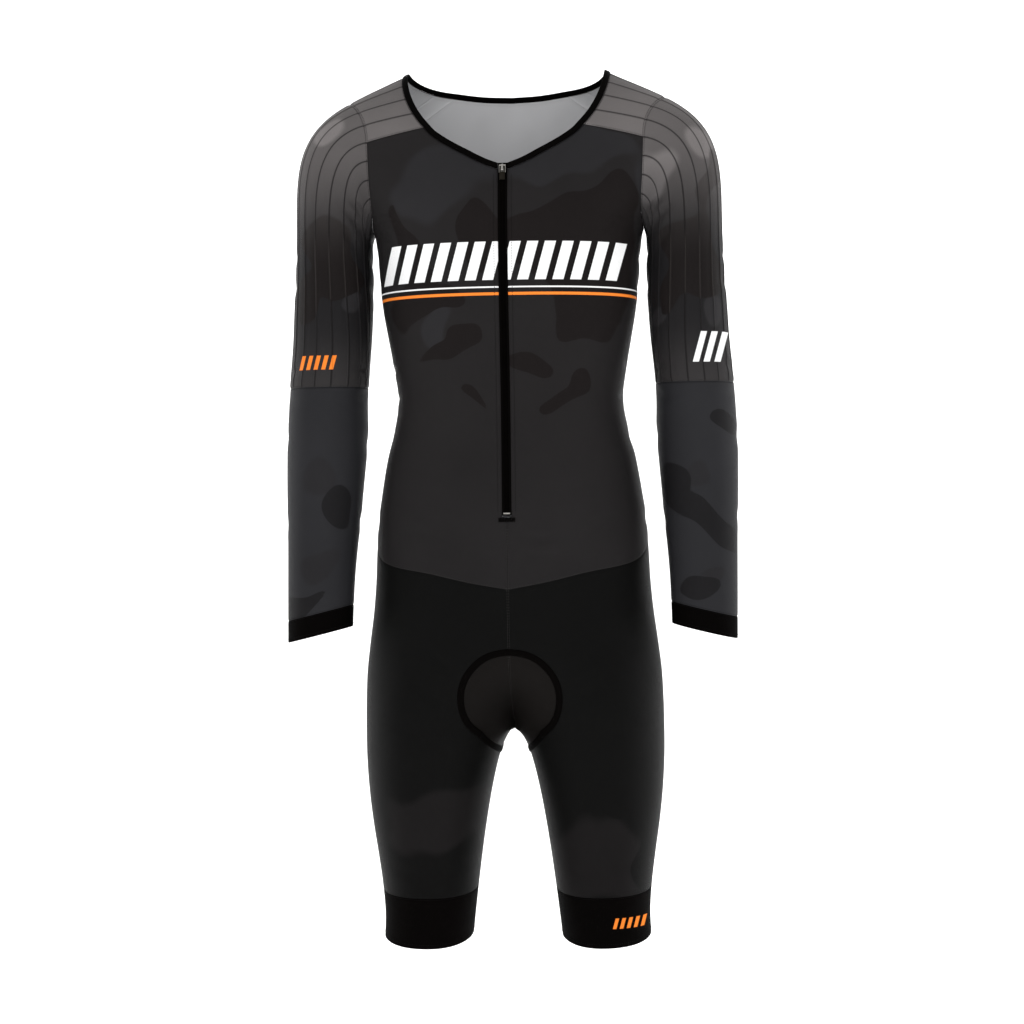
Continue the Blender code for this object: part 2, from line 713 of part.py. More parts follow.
def wall(name, outer, inner, finish, closed=False, joined_from=None, kept=None):
    """A cloth wall between two grids of points, split into triangles along the shorter diagonals.

    closed joins the last column to the first, as on a tube. joined_from does so from that row on,
    as on a trouser leg below the crotch. kept lists the outer columns that the inner grid has.
    """
    rows, columns = outer.shape[:2]
    kept = list(range(columns)) if kept is None else list(kept)
    outer_ids = np.arange(rows * columns).reshape(rows, columns)
    inner_ids = rows * columns + np.arange(rows * len(kept)).reshape(rows, len(kept))
    if closed:
        outer_ids = np.hstack([outer_ids, outer_ids[:, :1]])
        inner_ids = np.hstack([inner_ids, inner_ids[:, :1]])
        kept = kept + [kept[0] + columns]
    if joined_from is not None:
        outer_ids[joined_from:, -1] = outer_ids[joined_from:, 0]
        inner_ids[joined_from:, -1] = inner_ids[joined_from:, 0]
    faces = []
    for ids, grid, flip in ((outer_ids, outer, 1), (inner_ids, inner, -1)):
        grid = outer if inner.shape == outer.shape else grid
        for i in range(rows - 1):
            for j in range(ids.shape[1] - 1):
                quad = [int(v) for v in (ids[i, j], ids[i + 1, j], ids[i + 1, j + 1], ids[i, j + 1])]
                after = (j + 1) % grid.shape[1]
                fall = np.linalg.norm(grid[i, j] - grid[i + 1, after])
                rise = np.linalg.norm(grid[i + 1, j] - grid[i, after])
                if fall > rise:
                    quad = quad[1:] + quad[:1]
                faces += [(quad[0], quad[1], quad[2])[::flip], (quad[0], quad[2], quad[3])[::flip]]
    for i in (0, rows - 1):
        for k in range(len(kept) - 1):
            span = [outer_ids[i, j % columns if closed else j] for j in range(kept[k], kept[k + 1] + 1)]
            rim = [int(v) for v in (*span, inner_ids[i, k + 1], inner_ids[i, k])]
            faces.append(rim[:: 1 if i == 0 else -1])
    if not closed:
        sides = joined_from if joined_from is not None else rows - 1
        for i in range(sides):
            for j, flip in ((0, 1), (-1, -1)):
                rim = [outer_ids[i, j], inner_ids[i, j], inner_ids[i + 1, j], outer_ids[i + 1, j]]
                faces.append([int(v) for v in rim][::flip])
    points = np.vstack([outer.reshape(-1, 3), inner.reshape(-1, 3)])
    faces = [f for f in (list(dict.fromkeys(face)) for face in faces) if len(f) > 2]
    points, faces = drop_unused(points, faces)
    return solid(name, points, faces, finish)


def drop_unused(points, faces):
    """The points that some face uses, and the faces renumbered."""
    used = sorted({v for face in faces for v in face})
    new = {old: k for k, old in enumerate(used)}
    return points[used], [[new[v] for v in face] for face in faces]


def mirrored(grid):
    return grid * np.array([-1, 1, 1])


def both_sides(name, outer, inner, finish, **options):
    """The same wall for the wearer's left and right."""
    left = wall(f"{name}_left", outer, inner, finish, **options)
    right = wall(f"{name}_right", mirrored(outer), mirrored(inner), finish, **options)
    return left, right


def make_trunk():
    """Two fronts and one back, from the hip seam up to the yokes, armholes and neck."""
    z, t = front_grid()
    outer = pulled_in(body(z, t), ("top", "bottom", "first", "last"))
    both_sides("front", outer, outer - body_normal(z, t) * CLOTH, "print")
    z, t = back_grid()
    half, normal = body(z, t), body_normal(z, t)
    outer = np.concatenate([half, mirrored(half[:, -2::-1])], axis=1)
    normal = np.concatenate([normal, mirrored(normal[:, -2::-1])], axis=1)
    outer = pulled_in(outer, ("top", "bottom", "first", "last"))
    wall("back", outer, outer - normal * CLOTH, "print")


def shorts_shares():
    front = front_grid()[1][0]
    back = back_grid()[1][0]
    return np.concatenate([front, back[1:]])


def make_shorts():
    """Each half of the shorts is one piece: it wraps the hip and closes at the inseam below the crotch."""
    t = shorts_shares()
    seam_z = look_up(HIP_SEAM, "z", t)
    middle = np.array([0.0, 0.2, 0.38, 0.54, 0.68, 0.80, 0.90, 0.96, 1.0])
    rows = [seam_z + (CROTCH_Z - seam_z) * s for s in middle]
    hem_z = GRIPPER_TOP_Z + GRIPPER_TOP_TILT * body(GRIPPER_TOP_Z, t)[:, 1]
    for s in np.array([0.035, 0.11, 0.24, 0.42, 0.62, 0.82, 1.0]):
        rows.append(CROTCH_Z + (hem_z - CROTCH_Z) * s)
    z = np.array(rows)
    t = np.broadcast_to(t, z.shape)
    crotch_row = len(middle) - 1
    points, normal = body(z, t), body_normal(z, t)
    outer = pulled_in(points, ("top", "bottom"))
    outer[..., 0] = np.maximum(outer[..., 0], SEAM_GAP / 2)
    inner = outer - normal * CLOTH
    inner[..., 0] = np.maximum(inner[..., 0], SEAM_GAP / 2)
    return both_sides("shorts", outer, inner, "shorts", joined_from=crotch_row)


def make_grippers():
    """The wide bands that hold the legs down, a little narrower than the cloth above them."""
    t = shorts_shares()[:-1]
    rows = []
    for s in (0, 0.12, 0.55, 1):
        height = GRIPPER_TOP_Z + (GRIPPER_HEM_Z - GRIPPER_TOP_Z) * s
        tilt = GRIPPER_TOP_TILT + (GRIPPER_HEM_TILT - GRIPPER_TOP_TILT) * s
        rows.append(height + tilt * body(height, t)[:, 1])
    z = np.array(rows)
    t = np.broadcast_to(t, z.shape)
    outer = pulled_in(body(z, t), ("top",), closed=True)
    both_sides("gripper", outer, outer - body_normal(z, t) * BAND, "black", closed=True)


def yoke_columns(arc_span, length):
    """Columns of the yoke, whose ribs run on into those of the sleeve."""
    first, last = arc_span
    foot = RIB_WIDTH / length
    on_yoke = [(c - first) / (last - first) for c in rib_centres() if first + foot < c < last - foot]
    return ribbed_columns(on_yoke, (last - first) * length, (0.0, 1.0))


def make_yokes(shoulder):
    """The ribbed yokes over the shoulders."""
    shares, height, kept = shoulder.columns
    along = np.linspace(0, 1, YOKE_ROWS + 1)
    base = shoulder.yoke(along, shares)
    normal = grid_normals(base)
    base = pulled_in(base, ("top", "bottom", "first", "last"))
    outer = base + normal * rib_rise(height, len(base))
    both_sides("yoke", outer, (base - normal * CLOTH)[:, kept], "rib", kept=kept)


def rib_rise(height, rows):
    """How far each point of a ribbed wall is raised. The ribs are pressed flat where they are sewn."""
    fade = np.ones(rows)
    fade[[0, -1]] = 0.25
    return (fade[:, None] * height[None, :] * RIB_HEIGHT)[..., None]


def sleeve_form(shoulder, shares):
    """Rows of points down the upper sleeve at the given shares of the armhole, and their normals."""
    rows = cap_rows(shoulder, shares, CAP_STEPS)
    base = np.array(rows + [arm_ring(z, ring_share(shares, z)) for z in SLEEVE_LEVELS])
    return base, grid_normals(base, closed=True)


def make_sleeves(shoulder):
    """The upper sleeves, from armhole to elbow seam: a ribbed piece and a plain one under the arm."""
    ends = UNDERARM_SHARE, 1 - UNDERARM_SHARE
    shares, height, kept = ribbed_columns(rib_centres(), shoulder.length, ends)
    along = walk(shoulder.armhole) / shoulder.length
    front = along[(along > 0.004) & (along < UNDERARM_SHARE - 0.01)]
    back = along[(along < 0.996) & (along > 1 - UNDERARM_SHARE + 0.01)]
    base, normal = sleeve_form(shoulder, np.concatenate([shares, back, [0], front]))
    ribbed = slice(0, len(shares))
    plain = np.r_[len(shares) - 1 : base.shape[1], 0]
    edges = ("top", "bottom", "first", "last")
    outer = pulled_in(base[:, ribbed], edges)
    inner = (outer - normal[:, ribbed] * CLOTH)[:, kept]
    both_sides("sleeve", outer + normal[:, ribbed] * rib_rise(height, len(base)), inner, "rib", kept=kept)
    outer = pulled_in(base[:, plain], edges)
    both_sides("underarm", outer, outer - normal[:, plain] * CLOTH, "forearm")


def make_forearms():
    """The smooth lower sleeves and their cuffs."""
    shares = np.linspace(0, 1, 23)[:-1]

    def tube(name, heights, thickness, finish, edges):
        base = np.array([arm_ring(z, shares) for z in heights])
        normal = grid_normals(base, closed=True)
        outer = pulled_in(base, edges, closed=True)
        both_sides(name, outer, outer - normal * thickness, finish, closed=True)

    forearm = [ELBOW_Z, -337, -371, -415, -460, -515, CUFF_TOP_Z]
    tube("forearm", forearm, CLOTH, "forearm", ("top", "bottom"))
    tube("cuff", [CUFF_TOP_Z, -592, CUFF_HEM_Z], BAND, "black", ("top",))


def make_binding(shoulder):
    """The black binding folded over the neck edge, from one side of the zip round to the other."""
    half, lean = shoulder.neck_seam, shoulder.neck_lean()
    seam = np.vstack([half, mirrored(half[-2::-1])])
    lean = np.vstack([lean, mirrored(lean[-2::-1])])
    tangent = unit(np.gradient(seam, axis=0))
    lean = unit(lean - np.sum(lean * tangent, axis=1, keepdims=True) * tangent)
    normal = unit(np.cross(lean, tangent))
    for end in (0, -1):
        lean[end] -= tangent[end] * lean[end, 0] / tangent[end, 0]
        normal[end] -= tangent[end] * normal[end, 0] / tangent[end, 0]
    low, high = SEAM_GAP / 2, BINDING_WIDTH
    proud, back = 0.5, -CLOTH - 0.3
    section = ((low, back), (low, proud), (high - 0.9, proud), (high, -0.35), (high - 0.9, back))
    rings = np.stack([seam + lean * a + normal * b for a, b in section], axis=1)
    sweep("neck_binding", rings, "black")


def sweep(name, rings, finish, closed=False):
    """A bar through the given rings of points, with flat ends unless it is closed."""
    count, sides = rings.shape[:2]
    faces = []
    for i in range(count if closed else count - 1):
        for j in range(sides):
            a, b = i * sides + j, i * sides + (j + 1) % sides
            c, d = (i + 1) % count * sides + (j + 1) % sides, (i + 1) % count * sides + j
            faces.append([a, b, c, d])
    if not closed:
        faces += [list(range(sides))[::-1], list(range((count - 1) * sides, count * sides))]
    return solid(name, rings.reshape(-1, 3), faces, finish)


def middle_line(z):
    """Points and forward directions down the middle of the front."""
    z = np.asarray(z, float)
    points = body(z, np.zeros_like(z))
    return points, body_normal(z, np.zeros_like(z))


def strip(name, heights, left, right, out, back, finish):
    """A flat strip down the middle of the front, between two distances sideways and two outwards."""
    points, normal = middle_line(heights)
    side = np.array([1.0, 0, 0])
    corners = ((left, back), (right, back), (right, out), (left, out))
    rings = np.stack([points + side * a + normal * b for a, b in corners], axis=1)
    return sweep(name, rings, finish)


def block(name, size, bevel, finish, window=None, bar=0.0):
    """A box with rounded edges, about its middle. A window leaves a bar of the given height at the top."""
    width, thickness, length = size
    shape = bmesh.new()
    if window is None:
        bmesh.ops.create_cube(shape, size=1)
        bmesh.ops.scale(shape, vec=Vector(size) * MM, verts=shape.verts)
    else:
        frame_box(shape, width, length, thickness, window, bar)
    sharp = [e for e in shape.edges if e.calc_face_angle(0) > 0.5]
    bmesh.ops.bevel(shape, geom=sharp, offset=bevel * MM, segments=2, profile=0.5, affect="EDGES")
    mesh = bpy.data.meshes.new(name)
    shape.to_mesh(mesh)
    shape.free()
    mesh.materials.append(material(finish))
    made = bpy.data.objects.new(name, mesh)
    bpy.context.scene.collection.objects.link(made)
    return made


def frame_box(shape, width, length, thickness, window, bar):
    """A tab with a window near its top. Its origin is the middle of the bar over the window."""
    x = [-width / 2, -window[0] / 2, window[0] / 2, width / 2]
    z = [bar / 2, -bar / 2, -bar / 2 - window[1], bar / 2 - length]
    layers = []
    for y in (-thickness / 2, thickness / 2):
        layers.append([[shape.verts.new(Vector((a, y, c)) * MM) for a in x] for c in z])
    for i in range(3):
        for j in range(3):
            if (i, j) == (1, 1):
                continue
            for layer, flip in ((layers[0], 1), (layers[1], -1)):
                quad = [layer[i][j], layer[i + 1][j], layer[i + 1][j + 1], layer[i][j + 1]]
                shape.faces.new(quad[::flip])
    loops = (
        [(0, 0), (0, 1), (0, 2), (0, 3), (1, 3), (2, 3), (3, 3), (3, 2), (3, 1), (3, 0), (2, 0), (1, 0)],
        [(1, 1), (2, 1), (2, 2), (1, 2)],
    )
    for loop in loops:
        for (a, b), (c, d) in zip(loop, loop[1:] + loop[:1]):
            shape.faces.new([layers[0][a][b], layers[0][c][d], layers[1][c][d], layers[1][a][b]])
    bmesh.ops.recalc_face_normals(shape, faces=shape.faces)


def placed(thing, z, out, up=0.0):
    """Puts a piece on the middle line, its back to the panel, out from it and up along it."""
    at, normal = middle_line([z])
    normal = normal[0]
    along = np.array([0.0, -normal[2], normal[1]])
    along = along if along[2] > 0 else -along
    thing.location = Vector(at[0] + normal * out + along * up) * MM
    thing.rotation_euler = (math.atan2(along[1], along[2]) * -1, 0, 0)
    return thing


def make_zip():
    """The zip: two tapes, the closed coil, the slider with its pull, the stop and the end tab."""
    rows = FRONT_ROWS["middle_z"][ZIP_ROW + 1 : NECK_TIP_ROW + 1]
    heights = np.concatenate([[ZIP_BOTTOM_Z + 2], rows, [ZIP_TOP_Z]])
    edge = ZIP_HALF_WIDTH - SEAM_GAP / 2
    strip("zip_tape_left", heights, SEAM_GAP / 2, edge, -0.1, -1.1, "zip")
    strip("zip_tape_right", heights, -edge, -SEAM_GAP / 2, -0.1, -1.1, "zip")
    coil_heights = np.concatenate([[ZIP_BOTTOM_Z + 6], rows, [SLIDER_TOP_Z]])
    strip("zip_coil", coil_heights, -COIL_HALF_WIDTH, COIL_HALF_WIDTH, 1.2, 0.2, "zip")
    placed(block("zip_stop", (7.4, 1.4, 1.6), 0.3, "metal"), ZIP_BOTTOM_Z + 4, 0.95)
    placed(block("zip_end_tab", (18, 0.8, 4.4), 0.2, "black"), ZIP_BOTTOM_Z - 3, 0.85)

    middle_z = SLIDER_TOP_Z - SLIDER[1] / 2
    face = SLIDER_OUT + SLIDER[2]
    slider = block("zip_slider", (SLIDER[0], SLIDER[2], SLIDER[1]), 0.7, "metal")
    placed(slider, middle_z, SLIDER_OUT + SLIDER[2] / 2)
    bridge = bridge_loop()
    placed(bridge, middle_z, face)
    joined = slider.modifiers.new("bridge", "BOOLEAN")
    joined.operation = "UNION"
    joined.solver = "EXACT"
    joined.object = bridge
    pull = block("zip_pull", (PULL[0], PULL[2], PULL[1]), 0.25, "metal", PULL_WINDOW, PULL_BAR)
    placed(pull, middle_z, face + BRIDGE_ROOM / 2, PULL_BAR_UP)


def bridge_loop():
    """The loop that rises from the slider's face, as an outline in its middle plane made thick."""
    across, along, thick = BRIDGE
    top, root = BRIDGE_ROOM + thick, -0.8
    outline = [
        (-along / 2, root),
        (-along / 2, top - 0.6),
        (-along / 2 + 0.6, top),
        (along / 2 - 0.6, top),
        (along / 2, top - 0.6),
        (along / 2, root),
        (along / 2 - thick, root),
        (along / 2 - thick, BRIDGE_ROOM),
        (-along / 2 + thick, BRIDGE_ROOM),
        (-along / 2 + thick, root),
    ]
    count = len(outline)
    points = [(side * across / 2, -out, up) for side in (-1, 1) for up, out in outline]
    faces = [list(range(count)), list(range(2 * count - 1, count - 1, -1))]
    faces += [[k, (k + 1) % count, (k + 1) % count + count, k + count] for k in range(count)]
    made = solid("zip_bridge", points, faces, "metal", smooth=False)
    made.hide_render = True
    made.display_type = "WIRE"
    return made


def pad_seam_line():
    """The middle of the pad seam on the wearer's left, from the front middle under to the back middle."""
    points, normals = [], []
    for rows, half in ((PAD_SEAM_FRONT, 0), (PAD_SEAM_BACK, 1)):
        t = np.linspace(0, 0.5, 241) if half == 0 else np.linspace(1, 0.5, 241)
        for step in np.linspace(0, 8, 33):
            z = float(look_up(rows, "z", step))
            share = float(np.interp(float(look_up(rows, "around", step)), walk(body(z, t)), t))
            points.append(body(z, share))
            normals.append(body_normal(z, share))
    return np.array(points), np.array(normals)


def make_pad_seam(shorts):
    """The black band that sews in the seat pad, laid on the shorts once round the saddle area."""
    centre, normal = pad_seam_line()
    shares = np.linspace(0, 1, PAD_SEAM_STEPS + 1)
    centre, normal = evenly(centre, shares), unit(evenly_beside(centre, normal, shares))
    centre = np.vstack([centre, mirrored(centre[-2:0:-1])])
    normal = np.vstack([normal, mirrored(normal[-2:0:-1])])
    tangent = unit(np.roll(centre, -1, axis=0) - np.roll(centre, 1, axis=0))
    side = unit(np.cross(normal, tangent))
    under = {1: BVHTree.FromObject(shorts[0], bpy.context.evaluated_depsgraph_get())}
    under[-1] = BVHTree.FromObject(shorts[1], bpy.context.evaluated_depsgraph_get())
    feet, ways = [], []
    for at, across, out in zip(centre, side, normal):
        found = [on_cloth(under, at + across * share * PAD_SEAM_WIDTH, out) for share in (-0.5, 0, 0.5)]
        feet.append([foot for foot, _ in found])
        ways.append([way for _, way in found])
    feet, ways = np.array(feet), np.array(ways)
    lift = clear_lift(under, feet, ways)
    low = feet + ways * lift
    high = feet + ways * (lift + PAD_SEAM_THICKNESS)
    sweep("pad_seam", np.concatenate([low, high[:, ::-1]], axis=1), "black", closed=True)


def clear_lift(under, feet, ways):
    """How far each foot stands off the cloth, so that the band between the feet clears it as well."""
    count = len(feet)
    lift = np.full((count, 3, 1), LIFT)
    spots = [(along, across) for along in (0.2, 0.4, 0.6, 0.8) for across in (0, 0.5, 1, 1.5, 2)]
    for _ in range(6):
        low = feet + ways * lift
        for k in range(count):
            after = (k + 1) % count
            for along, across in spots:
                m, n = math.floor(across), math.ceil(across)
                start, end = (low[k, m] + low[k, n]) / 2, (low[after, m] + low[after, n]) / 2
                room = clearance(under, start * (1 - along) + end * along, ways[k, m])
                if room < SEAM_GAP:
                    raised = (SEAM_GAP - room) * 0.5
                    for row in (k, after):
                        lift[row, list({m, n})] += raised
    return lift


def clearance(under, point, out):
    """How far a point lies outside the cloth, along the given way out."""
    foot, _ = on_cloth(under, point, out)
    return float(np.dot(point - foot, out))


def evenly_beside(points, values, shares):
    """Values carried along a polyline, at the given shares of its length."""
    along = walk(points)
    return np.stack([np.interp(np.asarray(shares) * along[-1], along, values[:, k]) for k in range(3)], -1)


def on_cloth(under, point, out):
    """The nearest point on the outside of the shorts, and a way out from it."""
    side = 1 if point[0] >= 0 else -1
    start = Vector(point + out * 12) * MM
    hit, facing, _, _ = under[side].ray_cast(start, Vector(-out), 0.03)
    if hit is None:
        hit, facing, _, _ = under[side].find_nearest(Vector(point) * MM)
    return np.array(hit) / MM, unit(np.array(facing) + out)


def clear_scene():
    for thing in list(bpy.data.objects):
        bpy.data.objects.remove(thing, do_unlink=True)


def main():
    clear_scene()
    shoulder = Shoulder()
    make_trunk()
    shorts = make_shorts()
    make_grippers()
    make_yokes(shoulder)
    make_sleeves(shoulder)
    make_forearms()
    make_binding(shoulder)
    make_zip()
    make_pad_seam(shorts)


main()
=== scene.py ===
import math

import bmesh
import bpy
import numpy as np
from bpy.props import FloatProperty, FloatVectorProperty, PointerProperty
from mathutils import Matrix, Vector


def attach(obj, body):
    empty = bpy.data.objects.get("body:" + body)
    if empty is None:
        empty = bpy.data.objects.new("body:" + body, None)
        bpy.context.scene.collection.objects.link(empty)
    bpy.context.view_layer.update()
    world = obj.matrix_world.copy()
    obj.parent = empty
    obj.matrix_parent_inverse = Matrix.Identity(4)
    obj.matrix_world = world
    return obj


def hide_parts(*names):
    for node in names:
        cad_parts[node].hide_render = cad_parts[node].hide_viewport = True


bl_info = {
    "name": "Cycling Skinsuit",
    "version": (1, 0, 0),
    "blender": (4, 5, 0),
    "location": "View3D > Sidebar > Skinsuit",
    "description": "A long-sleeved cycling skinsuit with ribbed shoulders, a front zip and leg grippers",
    "category": "Add Mesh",
}

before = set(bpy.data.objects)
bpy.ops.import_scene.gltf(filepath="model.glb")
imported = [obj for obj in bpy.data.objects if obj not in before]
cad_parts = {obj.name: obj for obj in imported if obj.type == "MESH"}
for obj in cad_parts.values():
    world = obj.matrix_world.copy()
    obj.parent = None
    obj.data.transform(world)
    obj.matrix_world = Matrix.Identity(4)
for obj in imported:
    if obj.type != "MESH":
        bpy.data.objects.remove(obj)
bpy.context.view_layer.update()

MM = 0.001
GARMENT = "garment"

# Heights of the seams and openings, in millimetres. Z is up and the front faces -Y.
CROTCH_Z = -706.0
ZIP_BOTTOM_Z = -469.0
ZIP_TOP_Z = -83.0
SLIDER_TOP_Z = -86.5
CAP_RING_Z = -168.0
ELBOW_Z = -321.0
CUFF_TOP_Z = -573.0
CUFF_HEM_Z = -596.5
GRIPPER_TOP_Z = -884.0
GRIPPER_HEM_Z = -936.0
GRIPPER_TOP_TILT = 0.08
GRIPPER_HEM_TILT = 0.15

# Body form
TORSO_FULLNESS = 2.35
LIMB_FULLNESS = 2.12
HIP_BLEND = 100.0
INSEAM_SPREAD = 3.3
CLEFT_DEPTH = 0.08
CLEFT_POWER = 1.25
THIGH_MID_Y = 3.0
FORM_STEPS = 120

# Sleeves: how far the ribs and the underarm piece reach, as shares of the armhole's length, and how
# far the cap stands out, under the arm and over it
SLEEVE_RIBS = 16
SLEEVE_RIB_REACH = 0.345
UNDERARM_SHARE = 0.125
CAP_SWELL = (0.85, 1.34)
CUFF_TILT = 0.24
CUFF_TILT_FROM = -330.0

# Tops of the armhole and of the neck edge on the wearer's left, and how fully the lines rise to them
# and pass over them
ARM_TOP = (178.5, 8.0, -1.5)
NECK_SIDE = (115.5, 6.0, 28.0)
SHOULDER_RISE = 1.35
SHOULDER_OVER = 1.45

# Rows of the trunk panels, counted up from the hip seam, and columns of half the back
ZIP_ROW = 3
ARMPIT_ROW = 11
NECK_TIP_ROW = 13
TOP_ROW = 18
BACK_COLUMNS = 9
YOKE_ROWS = 5

# Details, in millimetres. TOPSTITCH is how far the stitches beside the zip lie from it.
ZIP_HALF_WIDTH = 5.2
ZIP_TUCK_TOP_Z = -86.0
TOPSTITCH = 4.7
BINDING_WIDTH = 6.5
PAD_SEAM_WIDTH = 7.5
COIL_PITCH = 1.3
RIB_FOOT = 3.0

# Rough lengths along which the grids of the pieces are stepped, in millimetres
FRONT_WIDTH = 190
BACK_HALF_WIDTH = 225
YOKE_WIDTH = 66
CAP_LENGTH = 200
ARM_ROUND = 290
SHORTS_RISE = 175

# How far apart the points of the grids lie, and where more are set beside an edge, in millimetres
GRID_STEP = {
    "trunk": 4.2,
    "back": 4.4,
    "ribbed": 4.2,
    "yoke": 3.2,
    "sleeve": 4.6,
    "underarm": 3.6,
    "forearm": 4.4,
    "cuff": 2.4,
    "cuff_round": 4.0,
    "shorts": 4.4,
    "gripper": 3.6,
}
EDGE_STEPS = np.array([0.7, 1.5, 2.6])
ALL_EDGES = ("first_row", "last_row", "first_column", "last_column")
END_ROWS = ("first_row", "last_row")


def table(columns, *rows):
    """Rows of numbers under named columns, in rising order of the first column."""
    values = np.array(sorted(rows), float).T
    return dict(zip(columns.split(), values))


# Trunk and outer leg: half width, and depth in front of and behind the axis. Above the armpit the
# half width is that of the arc on which the chest lies, which runs on past the armhole.
BODY = table(
    "z half_width front back",
    (25, 200, 44, 73),
    (10, 199, 53, 81),
    (-20, 196, 69, 92),
    (-50, 190, 84, 99),
    (-80, 181, 96, 103.5),
    (-110, 170, 106, 105.5),
    (-130, 160, 110, 105),
    (-148, 151.5, 112, 104),
    (-169, 147.5, 113, 102),
    (-202, 145, 113, 98),
    (-236, 141.8, 111, 93),
    (-270, 136, 107, 87),
    (-304, 130, 103, 82),
    (-337, 126, 100.5, 79),
    (-371, 131, 100, 80),
    (-405, 139.5, 101, 84),
    (-439, 145.5, 102.5, 90),
    (-472, 150, 103.5, 98),
    (-506, 152.4, 104, 106),
    (-540, 154, 103.5, 113),
    (-574, 157, 102.5, 119),
    (-607, 161.4, 101, 122),
    (-641, 165.4, 100, 120),
    (-675, 167, 98, 114),
    (-706, 167.6, 95, 104),
    (-742, 167, 88, 90),
    (-776, 164.8, 84, 84),
    (-810, 161, 78, 78),
    (-844, 156, 72, 73),
    (-878, 151.5, 67, 69),
    (-911, 149, 63, 65),
    (-945, 150, 60, 63),
    (-968, 150, 60, 62),
)

# One thigh by itself: how far out its deepest part lies, and its depth in front and behind
THIGH = table(
    "z deepest front back",
    (-590, 78, 100, 116),
    (-640, 80, 97, 112),
    (-706, 85, 93, 101),
    (-742, 88, 88.5, 91),
    (-776, 91, 83, 84),
    (-810, 93, 78, 78),
    (-844, 94, 72, 73),
    (-878, 94.5, 67, 69),
    (-911, 95, 63, 65),
    (-945, 96.5, 60, 63),
    (-968, 97, 60, 62),
)

# Arm: inner and outer edge, middle of its depth, and half of that depth. The elbow bends forward.
ARM = table(
    "z inner outer mid_y half_depth",
    (-140, 155, 238.5, 2, 51),
    (-169, 154.7, 239.4, 2, 50),
    (-202, 154.4, 240.7, 3, 49),
    (-236, 155.3, 243.4, 5, 48),
    (-270, 157.6, 245.4, 7, 47.5),
    (-304, 161, 248.6, 9, 47.5),
    (-321, 162.4, 250.2, 9, 48),
    (-337, 163, 251.4, 8, 48),
    (-371, 163, 253, 5, 48),
    (-405, 164.8, 253.7, 0, 47),
    (-439, 167.4, 253.2, -6, 45),
    (-472, 170, 252, -13, 42.5),
    (-506, 173, 251.4, -20, 40),
    (-540, 175.6, 250.9, -27, 37.5),
    (-574, 177, 250.3, -34, 35.5),
    (-625, 178, 249.5, -43, 34),
)

# Seams that lie on the trunk, as height against distance from the middle plane
ARMHOLE = table("z x", (-148, 151.5), (-140, 150), (-120, 150), (-95, 151.5), (-70, 152.5), (-52, 153))
NECK_FRONT = table("z x", (-90, 5.2), (-84, 20.4), (-73, 41), (-61, 62), (-48, 80), (-39, 88))
NECK_BACK = table("x z", (0, 8.5), (33, 10), (66, 14))

# How far the sleeve's lines lie from its outermost one, as shares of half the way round: on the
# armhole, at the arm's first ring and at the elbow. The ribs spread out as the underarm piece tapers.
SLEEVE_SPREAD = table(
    "armhole cap elbow",
    (0, 0, 0),
    (0.35, 0.42, 0.46),
    (0.69, 0.80, 0.90),
    (0.75, 0.845, 0.935),
    (1, 1, 1),
)

# The hip seam: share of the way round from the middle of the front to that of the back
HIP_SEAM = table(
    "t z",
    (0, -548),
    (0.1, -540.5),
    (0.2, -531),
    (0.37, -518),
    (0.5, -497),
    (0.65, -488),
    (0.8, -486),
    (1, -486),
)


# Heights of the panel rows, on the middle line or neck seam and on the side or armhole seam
FRONT_ROWS = table(
    "row middle_z side_z",
    (0, -548, -497),
    (1, -510, -468),
    (2, -473, -440),
    (3, -468, -435),
    (4, -425, -400),
    (5, -380, -365),
    (6, -335, -335),
    (7, -290, -300),
    (8, -245, -260),
    (9, -200, -220),
    (10, -160, -180),
    (11, -135, -148),
    (12, -112, -146),
    (13, -90, -140),
    (14, -84, -126),
    (15, -73, -108),
    (16, -61, -89),
    (17, -48, -70),
    (18, -39, -52),
)
BACK_MIDDLE_Z = table("row z", (0, -486), (2, -435), (6, -335), (11, -145), (18, 8.5))

# The seam of the seat pad, which shows as a black band: height, and distance round the thigh from
# the middle line or inseam
PAD_SEAM_FRONT = table(
    "step z around",
    (0, -616, 0),
    (1, -619, 22),
    (2, -631, 39),
    (3, -648, 53),
    (4, -668, 65),
    (5, -688, 79),
    (6, -706, 86),
    (7, -722, 50),
    (8, -731, 0),
)
PAD_SEAM_BACK = table(
    "step z around",
    (0, -731, 0),
    (1, -727, 22),
    (2, -714, 50),
    (3, -691, 74),
    (4, -662, 88),
    (5, -632, 88),
    (6, -607, 68),
    (7, -594, 36),
    (8, -590, 0),
)


def unit(vectors):
    """Vectors of length 1."""
    return vectors / np.maximum(np.linalg.norm(vectors, axis=-1, keepdims=True), 1e-12)


def through(keys, values, at):
    """Values at the given keys, on a smooth curve through the rows of a table."""
    at = np.clip(at, keys[0], keys[-1])
    slopes = np.gradient(values, keys)
    i = np.clip(np.searchsorted(keys, at) - 1, 0, len(keys) - 2)
    span = keys[i + 1] - keys[i]
    s = (at - keys[i]) / span
    return (
        (1 + 2 * s) * (1 - s) ** 2 * values[i]
        + s * (1 - s) ** 2 * span * slopes[i]
        + s * s * (3 - 2 * s) * values[i + 1]
        + s * s * (s - 1) * span * slopes[i + 1]
    )


def look_up(rows, name, at):
    """A column of a table, at any value of its first column."""
    keys = rows[next(iter(rows))]
    return through(keys, rows[name], np.asarray(at, float))


def smooth_step(s):
    """A soft rise from 0 to 1."""
    s = np.clip(s, 0, 1)
    return s * s * (3 - 2 * s)


def bump_at(distance, place, width):
    """A soft bump, 1 high at its place and about 0 beyond twice its width."""
    return np.exp(-(((distance - place) / width) ** 2))


